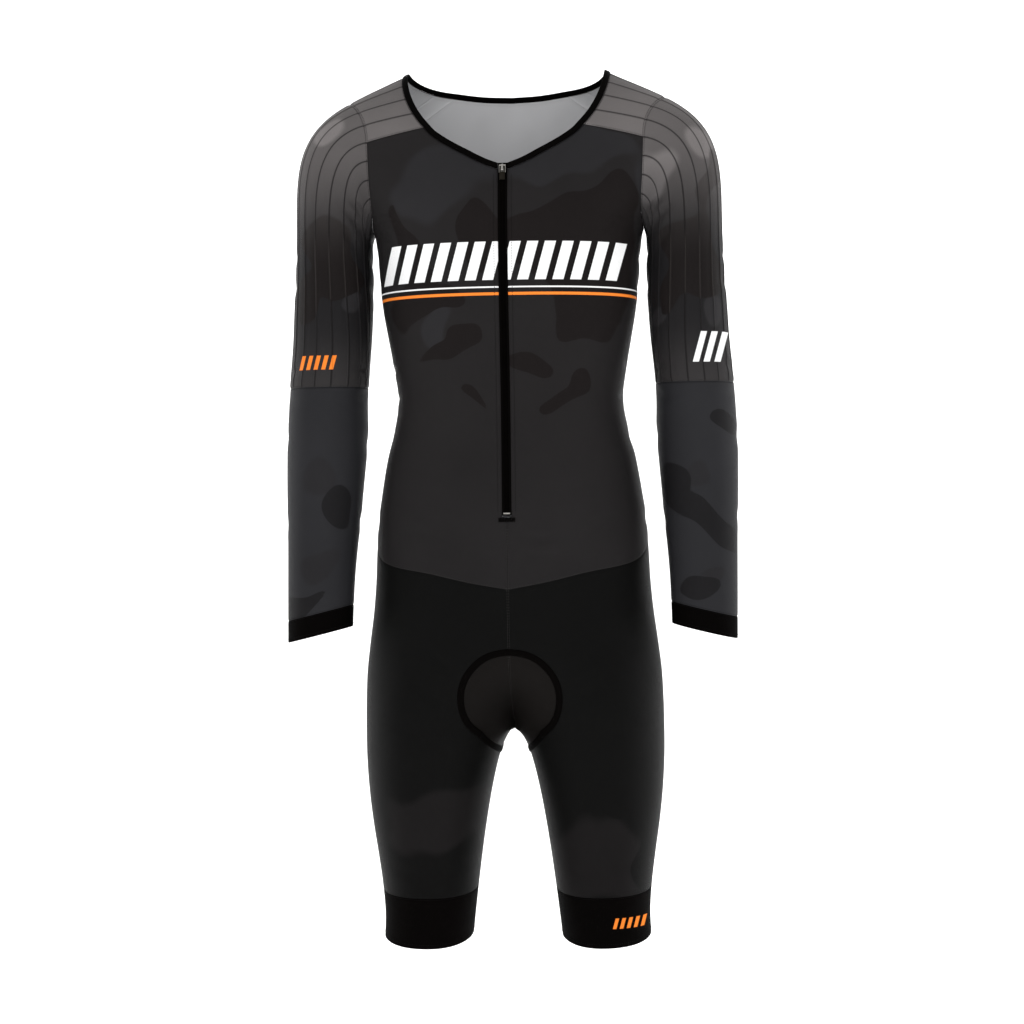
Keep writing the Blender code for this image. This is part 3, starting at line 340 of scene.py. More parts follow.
def hermite(start, start_tangent, end, end_tangent, s):
    """Points on cubic curves, one for each value of s."""
    return (
        (1 + 2 * s) * (1 - s) ** 2 * start
        + s * (1 - s) ** 2 * start_tangent
        + s * s * (3 - 2 * s) * end
        + s * s * (s - 1) * end_tangent
    )


def walk(points):
    """Distance along a polyline at each of its points."""
    steps = np.linalg.norm(np.diff(points, axis=0), axis=1)
    return np.concatenate([[0], np.cumsum(steps)])


def interpolated(points, known, at):
    """Points on a polyline, whose own points have the known values."""
    return np.stack([np.interp(at, known, points[:, k]) for k in range(3)], -1)


def evenly(points, shares):
    """Points on a polyline at the given shares of its length."""
    along = walk(points)
    return interpolated(points, along, np.asarray(shares) * along[-1])


def smoothed(directions, passes):
    """Directions along a line, each evened out with its neighbours."""
    for _ in range(passes):
        directions[1:-1] = unit(directions[:-2] + 2 * directions[1:-1] + directions[2:])
    return directions


def rounded(angle, half_width, depth, fullness):
    """Radius of a superellipse, with the angle measured from its depth axis."""
    across = np.abs(np.sin(angle) / half_width) ** fullness
    along = np.abs(np.cos(angle) / depth) ** fullness
    return (across + along) ** (-1 / fullness)


def trunk_arc(z, half):
    """Half of the trunk's section from the middle line to the side: half 0 is in front, 1 behind."""
    angle = np.linspace(0, math.pi / 2, 200)
    depth = look_up(BODY, ("front", "back")[half], z)
    radius = rounded(angle, look_up(BODY, "half_width", z), depth, TORSO_FULLNESS)
    y = radius * np.cos(angle) * (1 if half else -1)
    return np.stack([radius * np.sin(angle), y, np.full_like(angle, z)], -1)


def thigh_arc(z, half):
    """Half of one thigh's section, from the inseam to the side.

    Above the crotch it starts on the middle plane.
    """
    above = z - CROTCH_Z
    inner = INSEAM_SPREAD * math.sqrt(-above) if above < 0 else -CLEFT_DEPTH * above**CLEFT_POWER
    outer = look_up(BODY, "half_width", z)
    deepest = look_up(THIGH, "deepest", z)
    depth = look_up(THIGH, ("front", "back")[half], z) + (-THIGH_MID_Y if half else THIGH_MID_Y)
    angle = np.linspace(-math.pi / 2, math.pi / 2, 401)
    half_width = np.where(angle < 0, deepest - inner, outer - deepest)
    radius = rounded(angle, half_width, depth, LIMB_FULLNESS)
    x = deepest + radius * np.sin(angle)
    y = THIGH_MID_Y + radius * np.cos(angle) * (1 if half else -1)
    points = np.stack([x, y, np.full_like(angle, z)], -1)
    if above <= 0:
        return points
    first = np.argmax(x > 0)
    share = x[first - 1] / (x[first - 1] - x[first])
    cut = points[first - 1] + share * (points[first] - points[first - 1])
    return np.vstack([cut, points[first:]])


def form_row(z):
    """The body form at one height: front middle, side, back middle, evenly spaced in each half."""
    shares = np.linspace(0, 1, FORM_STEPS + 1)
    halves = []
    for half in (0, 1):
        above = z - CROTCH_Z
        trunk_share = float(smooth_step(above / HIP_BLEND))
        row = np.zeros((FORM_STEPS + 1, 3))
        if trunk_share < 1:
            row += (1 - trunk_share) * evenly(thigh_arc(z, half), shares)
        if trunk_share > 0:
            row += trunk_share * evenly(trunk_arc(z, half), shares)
        halves.append(row)
    return np.vstack([halves[0], halves[1][-2::-1]])


NEAR_CROTCH = CROTCH_Z + np.array([-8, -5, -3, -1.5, -0.6, -0.2, 0, 0.6, 1.5, 3, 5, 8])
LEVELS = np.unique(np.concatenate([np.arange(-968, 25.5, 3), NEAR_CROTCH]))
FORM = np.stack([form_row(z) for z in LEVELS])


def body(z, t):
    """The body form at height z, a share t of the way round from the front middle to the back middle."""
    z, t = np.broadcast_arrays(np.asarray(z, float), np.asarray(t, float))
    i = np.clip(np.searchsorted(LEVELS, z, side="right") - 1, 0, len(LEVELS) - 2)
    up = ((z - LEVELS[i]) / (LEVELS[i + 1] - LEVELS[i]))[..., None]
    steps = np.clip(t, 0, 1) * 2 * FORM_STEPS
    j = np.clip(steps.astype(int), 0, 2 * FORM_STEPS - 1)
    on = (steps - j)[..., None]
    low = FORM[i, j] * (1 - on) + FORM[i, j + 1] * on
    high = FORM[i + 1, j] * (1 - on) + FORM[i + 1, j + 1] * on
    return low * (1 - up) + high * up


def body_normal(z, t):
    """Outward normals of the body form."""
    z, t = np.broadcast_arrays(np.asarray(z, float), np.asarray(t, float))
    step_z, step_t = 3.0, 0.008
    one_trunk = z >= CROTCH_Z
    rise = body(np.where(one_trunk, z + step_z, z), t) - body(np.where(one_trunk, z, z - step_z), t)
    ahead = np.where(one_trunk, np.clip(t + step_t, 0, 1), (t + step_t) % 1)
    behind = np.where(one_trunk, np.clip(t - step_t, 0, 1), (t - step_t) % 1)
    normal = np.cross(body(z, ahead) - body(z, behind), rise)
    on_middle = one_trunk & ((t <= 0) | (t >= 1))
    normal[..., 0] = np.where(on_middle, 0, normal[..., 0])
    normal = unit(normal)
    at_crotch = on_middle & (np.abs(z - CROTCH_Z) < 0.01)
    normal[at_crotch] = (0, 0, -1)
    return normal


def share_at(z, x, half):
    """How far round the form lies the point at that height and distance from the middle plane."""
    t = np.linspace(0, 0.5, FORM_STEPS + 1) if half == 0 else np.linspace(1, 0.5, FORM_STEPS + 1)
    row = body(z, t)
    return float(np.interp(x, row[:, 0], t))


def across_form(z, t, step=0.01):
    """Directions round the form, as t rises."""
    return body(z, t + step) - body(z, t - step)


# Soft folds by the side that shows them: both ends (x or y, and z), how far the middle bows, depth
# and half width. Negative depth is a trough.
CREASES = {
    "front": (
        (-40, -512, -5, -520, 3, -0.75, 5),
        (16, -492, 62, -486, -4, -1.35, 4.5),
        (20, -500, 60, -497, -4, 0.9, 5),
        (-122, -470, -70, -488, -5, -0.9, 5.5),
        (126, -462, 84, -480, 5, -0.75, 5),
        (-100, -440, -40, -452, -4, -0.52, 8),
        (98, -430, 50, -447, 4, -0.6, 7),
        (-148, -132, -112, -158, 4, -1.6, 4),
        (-150, -150, -120, -186, 5, -1.2, 4.5),
        (146, -134, 108, -160, -4, -1.6, 4),
        (148, -156, 120, -196, -5, -1.2, 4.5),
        (-46, -96, -14, -110, 3, -0.52, 5),
        (44, -98, 14, -114, -3, -0.52, 5),
        (-176, -112, -160, -134, 2, -1.8, 3),
        (-184, -122, -164, -150, 3, -1.6, 3.4),
        (-182, -146, -166, -178, 2, -1.2, 4),
        (178, -112, 158, -136, -2, -1.8, 3),
        (186, -124, 162, -152, -3, -1.6, 3.4),
        (184, -150, 164, -184, -2, -1.2, 4),
        (-172, -300, -158, -309, 1, -1.8, 2.4),
        (-176, -313, -156, -317, 1, -1.6, 2.2),
        (-178, -331, -158, -334, 1, -1.4, 2.6),
        (-190, -339, -160, -345, -2, -1, 3),
        (156, -300, 170, -312, -1, -1.8, 2.4),
        (154, -309, 176, -317, -1, -1.6, 2.2),
        (156, -330, 178, -335, -1, -1.6, 2.6),
        (160, -340, 190, -348, 2, -1, 3),
        (-52, -640, -96, -606, 5, -0.9, 6),
        (-58, -672, -112, -640, 6, -0.75, 6),
        (54, -640, 98, -612, -5, -0.9, 6),
        (62, -674, 118, -636, -6, -0.75, 6),
        (-6, -560, -14, -600, 2, -0.45, 5),
        (8, -566, 16, -610, -2, -0.45, 5),
        (-140, -858, -104, -866, 2, -0.68, 5),
        (-60, -850, -34, -858, 2, -0.6, 4),
        (60, -856, 92, -864, -2, -0.6, 5),
        (118, -850, 146, -862, 2, -0.68, 5),
        (-232, -556, -204, -562, 2, -0.75, 4),
        (206, -552, 236, -560, -2, -0.75, 4),
    ),
    "back": (
        (-40, -60, -92, -96, 6, -1.05, 7),
        (42, -58, 96, -100, -6, -1.05, 7),
        (-70, -300, -10, -308, 4, -1.35, 6),
        (14, -318, 80, -306, -4, -1.2, 6),
        (-86, -338, -24, -350, 4, -1.05, 7),
        (30, -354, 92, -344, -4, -1.05, 7),
        (-50, -376, 36, -384, 5, -0.9, 8),
        (-120, -440, -74, -462, 5, -1.05, 6),
        (118, -444, 78, -468, -5, -1.05, 6),
        (-30, -560, -84, -604, 8, -0.75, 8),
        (34, -566, 90, -612, -8, -0.75, 8),
        (-40, -690, -104, -706, 6, -1.35, 6),
        (44, -692, 110, -704, -6, -1.35, 6),
        (-52, -718, -98, -724, 3, -0.75, 5),
        (54, -720, 100, -728, -3, -0.75, 5),
        (-176, -120, -152, -152, 3, -1.35, 5),
        (176, -122, 150, -154, -3, -1.35, 5),
        (-214, -306, -180, -316, 3, -1.2, 5),
        (184, -318, 218, -304, 3, -1.2, 5),
        (-220, -338, -186, -330, 3, -0.9, 5),
        (188, -330, 222, -340, 3, -0.9, 5),
    ),
    "left": (
        (-20, -176, 26, -196, 5, -1.2, 6),
        (-28, -208, 20, -222, 5, -0.9, 6),
        (-34, -300, 2, -310, 4, -1.05, 4.5),
        (-40, -334, 4, -326, -4, -0.9, 4.5),
        (-22, -380, 30, -396, 5, -0.75, 8),
        (-30, -470, 36, -486, 5, -0.9, 7),
        (10, -560, 52, -606, 6, -0.75, 8),
    ),
    "right": (
        (-18, -172, 28, -194, 5, -1.2, 6),
        (-26, -206, 22, -224, 5, -0.9, 6),
        (-36, -302, 0, -312, 4, -1.05, 4.5),
        (-42, -336, 2, -328, -4, -0.9, 4.5),
        (-20, -376, 32, -394, 5, -0.75, 8),
        (-32, -474, 34, -488, 5, -0.9, 7),
        (12, -556, 50, -604, 6, -0.75, 8),
    ),
}

# Camouflage: middle of each patch, its half sizes, and its turn in degrees
CAMO_DARK = (
    (93, -100, -168, 52, 50, 41, 0),
    (132, -100, -126, 24, 50, 35, 0),
    (39, -100, -168, 26, 50, 31, 0),
    (106, -100, -231, 41, 50, 28, 0),
    (147, -100, -233, 11, 50, 48, 0),
    (-21, -100, -152, 16, 50, 28, 12),
    (-31, -100, -185, 17, 50, 20, 0),
    (-114, -100, -137, 7, 50, 22, 0),
    (-103, -100, -174, 12, 50, 20, 0),
    (-96, -100, -202, 15, 50, 13, 0),
    (-118, -100, -239, 20, 50, 26, 0),
    (-72, -100, -233, 24, 50, 11, -8),
    (-35, -100, -274, 20, 50, 12, -25),
    (93, -100, -268, 28, 50, 14, 0),
    (32, -100, -299, 26, 50, 12, -12),
    (79, -100, -331, 22, 50, 8, 38),
    (47, -100, -343, 13, 50, 8, 10),
    (-36, -100, -342, 14, 50, 6, -45),
    (-66, -100, -289, 26, 50, 8, 8),
    (-129, -100, -313, 9, 50, 17, 0),
    (-199, -45, -157, 22, 60, 20, 0),
    (-196, -45, -182, 20, 60, 26, 0),
    (-186, -40, -212, 12, 60, 16, 0),
    (-232, -30, -225, 14, 60, 24, 0),
    (-188, -60, -461, 16, 40, 30, 0),
    (-233, -60, -562, 30, 40, 12, 20),
    (182, -45, -205, 10, 60, 34, -20),
    (196, -45, -175, 20, 60, 26, 0),
    (214, -45, -200, 20, 60, 34, 0),
    (225, -20, -100, 10, 60, 34, 0),
    (240, -40, -371, 20, 40, 10, 0),
    (183, -50, -427, 22, 40, 20, 0),
    (211, -55, -472, 24, 40, 13, -35),
    (236, -55, -504, 22, 40, 12, -35),
    (211, -65, -551, 24, 40, 12, 0),
    (-125, -40, -866, 22, 60, 22, 0),
    (-64, -50, -872, 30, 60, 10, 0),
    (128, -40, -793, 34, 60, 14, 0),
    (150, -20, -844, 14, 60, 46, 0),
    (-72, 100, -96, 44, 50, 26, 12),
    (-30, 105, -132, 34, 50, 20, -20),
    (14, 105, -150, 26, 50, 14, 0),
    (96, 100, -196, 26, 50, 30, 0),
    (78, 100, -240, 30, 50, 22, 15),
    (108, 95, -290, 20, 50, 34, 0),
    (-96, 100, -226, 24, 50, 40, 8),
    (-70, 100, -276, 34, 50, 18, -10),
    (-24, 100, -300, 30, 50, 13, -18),
    (20, 100, -362, 44, 50, 15, 10),
    (70, 100, -380, 24, 50, 20, 0),
    (-112, 95, -380, 16, 50, 40, 0),
    (-84, 100, -424, 26, 50, 13, 20),
    (-216, 60, -200, 20, 50, 36, 0),
    (214, 60, -250, 20, 50, 30, 0),
    (-222, 40, -420, 18, 50, 30, 10),
    (224, 40, -480, 18, 50, 30, -10),
    (-120, 60, -820, 26, 50, 20, 0),
    (96, 60, -780, 34, 50, 22, 0),
)
CAMO_LIGHT = (
    (-72, -100, -100, 50, 50, 44, 0),
    (58, -100, -81, 48, 50, 22, 0),
    (102, -100, -60, 37, 50, 13, 0),
    (-72, -100, -266, 15, 50, 24, 0),
    (164, -50, -92, 18, 50, 26, 0),
    (214, -40, -60, 16, 50, 18, 20),
    (-200, -40, -40, 18, 50, 14, 0),
    (-176, -45, -236, 10, 50, 12, 0),
    (164, -45, -242, 9, 50, 12, 0),
    (228, -40, -246, 11, 50, 18, 0),
    (-208, -60, -420, 22, 50, 20, 20),
    (214, -60, -430, 16, 50, 16, 0),
    (-214, -60, -520, 20, 50, 16, -20),
    (226, -60, -540, 14, 50, 10, 0),
    (-86, -50, -800, 60, 70, 34, 0),
    (94, -50, -850, 50, 70, 48, 0),
    (60, 100, -90, 46, 50, 28, 0),
    (-30, 105, -215, 40, 50, 20, 0),
    (110, 100, -330, 26, 50, 24, 0),
    (-80, 60, -780, 40, 50, 26, 0),
    (70, 60, -850, 40, 50, 26, 0),
)

# How far the grey shows on the yokes and sleeves, by height
FADE = table(
    "z yoke sleeve",
    (-330, 0, 0.15),
    (-300, 0, 0.11),
    (-260, 0, 0.03),
    (-220, 0, 0.01),
    (-170, 0, 0.03),
    (-140, 0.3, 0.14),
    (-100, 0.5, 0.38),
    (-60, 0.75, 0.58),
    (-20, 0.75, 0.62),
    (10, 0.6, 0.55),
    (40, 0.5, 0.5),
)


# Directions: the wearer's left, and up
LEFT = np.array([1.0, 0, 0])
UP = np.array([0, 0, 1.0])

# Cloth between two points of a cross-section, in metres, for the knit
SECTION_STEP = 0.0011

# Details in millimetres: how far the shorts stay from the middle plane, the cross-section of a zip
# tape, and rings through a loop of the coil, by reach past the middle, rise, lift and half thickness
MIDDLE_GAP = 0.05
TAPE_SECTION = ((0.1, -1.1), (5.1, -1.1), (5.1, -0.3), (3.2, -0.1), (0.1, -0.1))
COIL_LOOP = ((2.5, 0.3, 0.0, 0.3), (1.8, 0.65, 0.1, 0.42), (0.4, 0.8, 0.0, 0.5), (-0.6, 0.6, 0.0, 0.3))

# Stitches: the cross-section of a thread, how far a zigzag slants, and how many rows of a panel's
# grid are looked at beside its edge
THREAD_SECTION = ((-1, -0.12), (0, 0.14), (1, -0.12), (0, -0.3))
ZIGZAG = 0.5
BESIDE_ROWS = 30

# The studio in metres: both sides and the profile of the paper sweep
SWEEP_SIDES = (-9.0, 9.0)
SWEEP_PROFILE = ((-6.0, -1.10), (2.2, -1.10), (3.0, -1.02), (3.6, -0.7), (3.9, -0.2), (4.0, 4.5))

# Soft lights: place, the point they face, width and height in metres, and power in watts
LIGHTS = {
    "key_soft": ((-1.3, -3.2, 1.0), (0, 0, -0.4), (1.6, 2.2), 24),
    "fill_soft": ((1.6, -3.0, 0.6), (0, 0, -0.45), (1.6, 2.2), 18),
    "rim_left": ((-2.0, 0.9, 0.2), (0, 0, -0.45), (0.8, 2.4), 13),
    "rim_right": ((2.0, 0.9, 0.2), (0, 0, -0.45), (0.8, 2.4), 13),
    "top_soft": ((0, -0.4, 2.0), (0, 0, -0.3), (2.0, 1.6), 8),
}

# The camera: the point it faces, its distance in metres, its turn and roll in degrees, and its lens
CAMERA_TARGET = (-0.0006, 0, -0.4635)
CAMERA_DISTANCE = 3.0
CAMERA_TURN = 3.5
CAMERA_ROLL = -0.75
CAMERA_LENS = 93.75


# Fine grids on the form


def graded(length, spacing, ends=(True, True)):
    """Shares from 0 to 1 about evenly spaced along a length, closer together at the named ends."""
    least = 0.35
    shares = np.linspace(0, 1, max(2, math.ceil(length / spacing)) + 1)
    close = EDGE_STEPS / length
    extra = ([close] if ends[0] else []) + ([1 - close] if ends[1] else [])
    shares = np.concatenate([shares, *extra]) if extra else shares
    shares = np.unique(np.round(shares, 6))
    apart = np.diff(shares) > least / length
    return shares[np.concatenate([[True], apart])] if apart[-1] else np.append(shares[:-1][apart], 1.0)


def between_rows(name, row):
    """A height from FRONT_ROWS at a row that may lie between two of its rows."""
    return float(np.interp(row, FRONT_ROWS["row"], FRONT_ROWS[name]))


def row_steps(first, last, spacing):
    """Row numbers close enough together for the spacing, with two more at both ends."""
    names = ("middle_z", "side_z")
    steps = [float(first)]
    for row in range(first, last):
        rise = max(abs(between_rows(name, row + 1) - between_rows(name, row)) for name in names)
        count = max(1, round(rise / spacing))
        steps += [row + (k + 1) / count for k in range(count)]
    near_edge = 0.9
    near = near_edge / max(1, between_rows("side_z", first + 1) - between_rows("side_z", first))
    far = near_edge / max(1, between_rows("side_z", last) - between_rows("side_z", last - 1))
    beside = np.array([1, 2.2])
    return np.unique(np.concatenate([steps, first + near * beside, last - far * beside]))


def middle_share(row):
    """The front panel's inner edge: the middle seam, the side of the zip, and then the neck seam."""
    z = between_rows("middle_z", row)
    if row <= ZIP_ROW - 1:
        return 0.0
    if row <= NECK_TIP_ROW:
        return share_at(z, ZIP_HALF_WIDTH * min(1, row - ZIP_ROW + 1), 0)
    return share_at(z, float(look_up(NECK_FRONT, "x", z)), 0)


def side_share(row, half):
    """A trunk panel's outer edge: the side seam and then the armhole."""
    z = between_rows("side_z", row)
    if row <= ARMPIT_ROW:
        return 0.5
    return share_at(z, float(look_up(ARMHOLE, "x", z)), half)


def back_top(across):
    """Height and share round the form along the top of the back, from its outer corner to the middle."""
    corner_z, corner_t = FRONT_ROWS["side_z"][-1], side_share(TOP_ROW, 1)
    neck_x = NECK_BACK["x"][-1]
    neck_z = float(look_up(NECK_BACK, "z", neck_x))
    neck_t = share_at(neck_z, neck_x, 1)
    split = YOKE_ROWS / BACK_COLUMNS
    z, t = [], []
    for share in across:
        if share <= split:
            z.append(corner_z + (neck_z - corner_z) * share / split)
            t.append(corner_t + (neck_t - corner_t) * share / split)
        else:
            x = neck_x * (1 - share) / (1 - split)
            z.append(float(look_up(NECK_BACK, "z", x)))
            t.append(share_at(z[-1], x, 1))
    return np.array(z), np.array(t)


def front_grid(rows, across):
    """Height and share round the form of each point of a front panel, from the hip seam up."""
    z, t = [], []
    hip_middle, hip_side = between_rows("middle_z", 0), between_rows("side_z", 0)
    shares = middle_share(0) + (side_share(0, 0) - middle_share(0)) * across
    sag = look_up(HIP_SEAM, "z", shares) - (hip_middle + (hip_side - hip_middle) * across)
    for row in rows:
        start, end = middle_share(row), side_share(row, 0)
        middle, side = between_rows("middle_z", row), between_rows("side_z", row)
        heights = middle + (side - middle) * across
        z.append(heights + sag * max(0, 1 - row / ARMPIT_ROW) ** 2)
        t.append(start + (end - start) * across)
    return np.array(z), np.array(t)


def back_grid(rows, across):
    """The same for half of the back panel, from the side to the middle."""
    top_z, top_t = back_top(across)
    last = TOP_ROW
    z, t = [], []
    for row in rows:
        side_z, middle_z = between_rows("side_z", row), float(look_up(BACK_MIDDLE_Z, "z", row))
        start = side_share(row, 1)
        even_z, even_t = side_z + (middle_z - side_z) * across, start + (1 - start) * across
        seam = look_up(HIP_SEAM, "z", even_t)
        even_z = even_z + (seam - even_z) * max(0, 1 - row)
        rise = max(0, (row - ARMPIT_ROW) / (last - ARMPIT_ROW)) ** 1.5
        bent_z = side_z + (middle_z - side_z) * (top_z - top_z[0]) / (top_z[-1] - top_z[0])
        bent_t = start + (1 - start) * (top_t - top_t[0]) / (1 - top_t[0])
        z.append(even_z * (1 - rise) + bent_z * rise)
        t.append(even_t * (1 - rise) + bent_t * rise)
    z[-1], t[-1] = top_z, top_t
    return np.array(z), np.array(t)


def shoulder_arc(front, front_way, top, back, back_way, steps):
    """A line over the shoulder, from the front yoke seam over the top to the back one."""
    top = np.array(top)
    s = np.linspace(0, 1, steps + 1)[:, None]
    over = np.array([0, SHOULDER_OVER * abs(top[1] - front[1]), 0])
    first = hermite(front, front_way * SHOULDER_RISE * np.linalg.norm(top - front), top, over, s)
    over = np.array([0, SHOULDER_OVER * abs(back[1] - top[1]), 0])
    second = hermite(top, over, back, back_way * SHOULDER_RISE * np.linalg.norm(back - top), s)
    return np.vstack([first, second[1:]])


def past_edge(edge, z, t):
    """Directions that lie in the body form, square to an edge, and point up past it."""
    square = np.cross(body_normal(z, t), unit(np.gradient(edge, axis=0)))
    return unit(square * np.sign(square[:, 2:3]))


class Shoulder:
    """The lines that the yoke, sleeve, trunk panels and neck binding share on the wearer's left.

    Near the underarm, up to under_reach of the armhole, the sleeve leaves it the under_way.
    """

    arc_steps = 60
    under_reach = 0.20
    under_blend = 0.17
    under_way = np.array([0.55, 0, -0.85])

    def __init__(self):
        rows = np.arange(ARMPIT_ROW, TOP_ROW + 0.01, 0.2)
        rows = np.unique(np.concatenate([rows, [TOP_ROW - 1, TOP_ROW]]))
        across = np.linspace(0, 1, 46)
        front_z, front_t = front_grid(rows, across)
        back_z, back_t = back_grid(rows, across)
        front, back = body(front_z, front_t), body(back_z, back_t)
        below = int(np.flatnonzero(np.isclose(rows, TOP_ROW - 1))[0])
        tip = int(np.flatnonzero(np.isclose(rows, NECK_TIP_ROW))[0])
        split = int(np.flatnonzero(across >= YOKE_ROWS / BACK_COLUMNS - 1e-9)[0])
        arm_front, arm_back = front[:, -1], back[:, 0]
        neck_front, neck_back = front[tip:, 0], back[-1, split:]
        self.arm_arc = shoulder_arc(
            arm_front[-1], unit(arm_front[-1] - arm_front[below]), ARM_TOP,
            arm_back[-1], unit(arm_back[below] - arm_back[-1]), self.arc_steps,
        )
        self.neck_arc = shoulder_arc(
            neck_front[-1], unit(neck_front[-1] - front[below, 0]), NECK_SIDE,
            neck_back[0], unit(back[-1, split + 9] - neck_back[0]), self.arc_steps,
        )
        self.front_seam = front[-1]
        self.back_seam = back[-1, : split + 1][::-1]
        self.armhole = np.vstack([arm_front, self.arm_arc[1:-1], arm_back[::-1]])
        self.neck_seam = np.vstack([neck_front, self.neck_arc[1:-1], neck_back])
        along = walk(self.armhole)
        self.length = along[-1]
        first = len(arm_front) - 1
        self.arc_span = along[first] / along[-1], along[first + 2 * self.arc_steps] / along[-1]

        front_lean = past_edge(neck_front, front_z[tip:, 0], front_t[tip:, 0])
        back_lean = past_edge(neck_back, back_z[-1, split:], back_t[-1, split:])
        beside = self.yoke(np.array([0.0, 0.1]), walk(self.neck_arc) / walk(self.neck_arc)[-1])
        lean = unit(np.vstack([front_lean[:-1], beside[0] - beside[1], back_lean[1:]]))
        self.neck_lean = smoothed(lean, 14)

        beside = self.yoke(np.array([0.8, 1.0]), walk(self.arm_arc) / walk(self.arm_arc)[-1])
        outward = unit(np.vstack([
            across_form(front_z[:, -1], front_t[:, -1]),
            (beside[1] - beside[0])[1:-1],
            -across_form(back_z[:, 0], back_t[:, 0])[::-1],
        ]))
        share = along / along[-1]
        near_under = self.under_reach - np.minimum(share, 1 - share)
        under = smooth_step(near_under / self.under_blend)[:, None]
        outward = unit(outward * (1 - under) + self.under_way * under)
        self.out_shares = np.linspace(0, 1, 401)
        self.arm_out = smoothed(interpolated(outward, share, self.out_shares), 60)

    def yoke(self, along, over):
        """Points of the yoke: along goes from the neck to the armhole, over from front to back."""
        along, over = along[:, None, None], np.asarray(over)[None, :, None]
        neck, arm = evenly(self.neck_arc, over.ravel())[None], evenly(self.arm_arc, over.ravel())[None]
        front = evenly(self.front_seam, along.ravel())[:, None]
        back = evenly(self.back_seam, along.ravel())[:, None]
        corners = (1 - along) * ((1 - over) * self.neck_arc[0] + over * self.neck_arc[-1]) + along * (
            (1 - over) * self.arm_arc[0] + over * self.arm_arc[-1]
        )
        return (1 - along) * neck + along * arm + (1 - over) * front + over * back - corners

    def cap(self, shares, steps):
        """The sleeve's cap: rows of points from the armhole to the first level ring of the arm."""
        start = evenly(self.armhole, shares)
        outward = unit(interpolated(self.arm_out, self.out_shares, shares))
        around = ring_share(shares)
        end = arm_ring(CAP_RING_Z, around)
        down = unit(arm_ring(CAP_RING_Z - 6, around) - arm_ring(CAP_RING_Z + 6, around))
        over = smooth_step(1.4 * (1 - np.abs(2 * shares - 1)))[:, None]
        swell = CAP_SWELL[0] + (CAP_SWELL[1] - CAP_SWELL[0]) * over
        swell = swell * np.linalg.norm(end - start, axis=1, keepdims=True)
        return [hermite(start, outward * swell, end, down * swell, s) for s in steps]


def grid_normals(points, closed=False):
    """Normals of a grid of points, outwards where rows run down and columns run from front to back."""
    down = np.gradient(points, axis=0)
    if closed:
        across = np.roll(points, -1, axis=1) - np.roll(points, 1, axis=1)
    else:
        across = np.gradient(points, axis=1)
    return unit(np.cross(down, across))


def arm_ring(z, shares):
    """Points round the arm at one height, from the inner side forward and round, by share of its length."""
    inner, outer = look_up(ARM, "inner", z), look_up(ARM, "outer", z)
    middle, half_width = (inner + outer) / 2, (outer - inner) / 2
    angle = np.linspace(0, 2 * math.pi, 361)
    radius = rounded(angle - math.pi / 2, half_width, look_up(ARM, "half_depth", z), LIMB_FULLNESS)
    x = -radius * np.cos(angle)
    y = look_up(ARM, "mid_y", z) - radius * np.sin(angle)
    tilt = CUFF_TILT * float(smooth_step((CUFF_TILT_FROM - z) / (CUFF_TILT_FROM - CUFF_TOP_Z)))
    return evenly(np.stack([middle + x, y, z - tilt * x], -1), shares)


def ring_share(share, z=CAP_RING_Z):
    """Share of the way round the arm at a height, for a share of the way round the armhole."""
    u = np.asarray(share) * 2 - 1
    low = smooth_step((CAP_RING_Z - z) / (CAP_RING_Z - ELBOW_Z))
    cap, elbow = look_up(SLEEVE_SPREAD, "cap", np.abs(u)), look_up(SLEEVE_SPREAD, "elbow", np.abs(u))
    return 0.5 + 0.5 * np.sign(u) * ((1 - low) * cap + low * elbow)


def rib_centres():
    """Where the ribs cross the armhole, as shares of its length."""
    return np.linspace(0.5 - SLEEVE_RIB_REACH, 0.5 + SLEEVE_RIB_REACH, SLEEVE_RIBS)


def ribbed_shares(centres, length):
    """Column shares across a ribbed panel: close together over each rib, about even between them."""
    rib = sizes().rib_width / MM
    half = np.array([0.15, 0.32, 0.5, 0.75])
    offsets = np.concatenate([-half[::-1], [0], half]) * rib / length
    reach = offsets[-1]
    shares = [c + o for c in centres for o in offsets]
    stops = np.concatenate([[0], centres, [1]])
    for start, end in zip(stops[:-1], stops[1:]):
        start = start + reach if start > 0 else start
        end = end - reach if end < 1 else end
        count = max(1, round((end - start) * length / GRID_STEP["ribbed"]))
        shares += list(np.linspace(start, end, count + 1))
    edge = EDGE_STEPS / length
    shares = np.unique(np.round(np.concatenate([shares, edge, 1 - edge]), 6))
    least = 0.2
    keep = np.concatenate([[True], np.diff(shares) > least / length])
    keep[-1] = True
    return shares[keep]


def rib_profile(shares, centres, length):
    """How high the cloth stands at each column, from 0 between the ribs to 1 on their crests."""
    half = sizes().rib_width / MM / 2 / length
    apart = np.min(np.abs(np.asarray(shares)[:, None] - np.asarray(centres)[None]), axis=1)
    return np.cos(np.clip(apart / half, 0, 1) * math.pi / 2) ** 1.3


def distances(points):
    """How far each point of a grid lies, along the cloth, from its first row and first column."""
    rows, columns = points.shape[:2]
    steps = np.linalg.norm(np.diff(points, axis=0), axis=2)
    down = np.vstack([np.zeros(columns), np.cumsum(steps, axis=0)])
    steps = np.linalg.norm(np.diff(points, axis=1), axis=2)
    across = np.hstack([np.zeros((rows, 1)), np.cumsum(steps, axis=1)])
    return down, across


def edge_distance(points, edges):
    """How far each point of a grid lies from the nearest of the named edges, along the cloth."""
    down, across = distances(points)
    far = {
        "first_row": down,
        "last_row": down[-1:] - down,
        "first_column": across,
        "last_column": across[:, -1:] - across,
    }
    return np.min([far[edge] for edge in edges], axis=0)


def cloth_map(points):
    """Distances in metres across and down the cloth, for the knit."""
    down, across = distances(points)
    return np.stack([across, down], -1) * MM


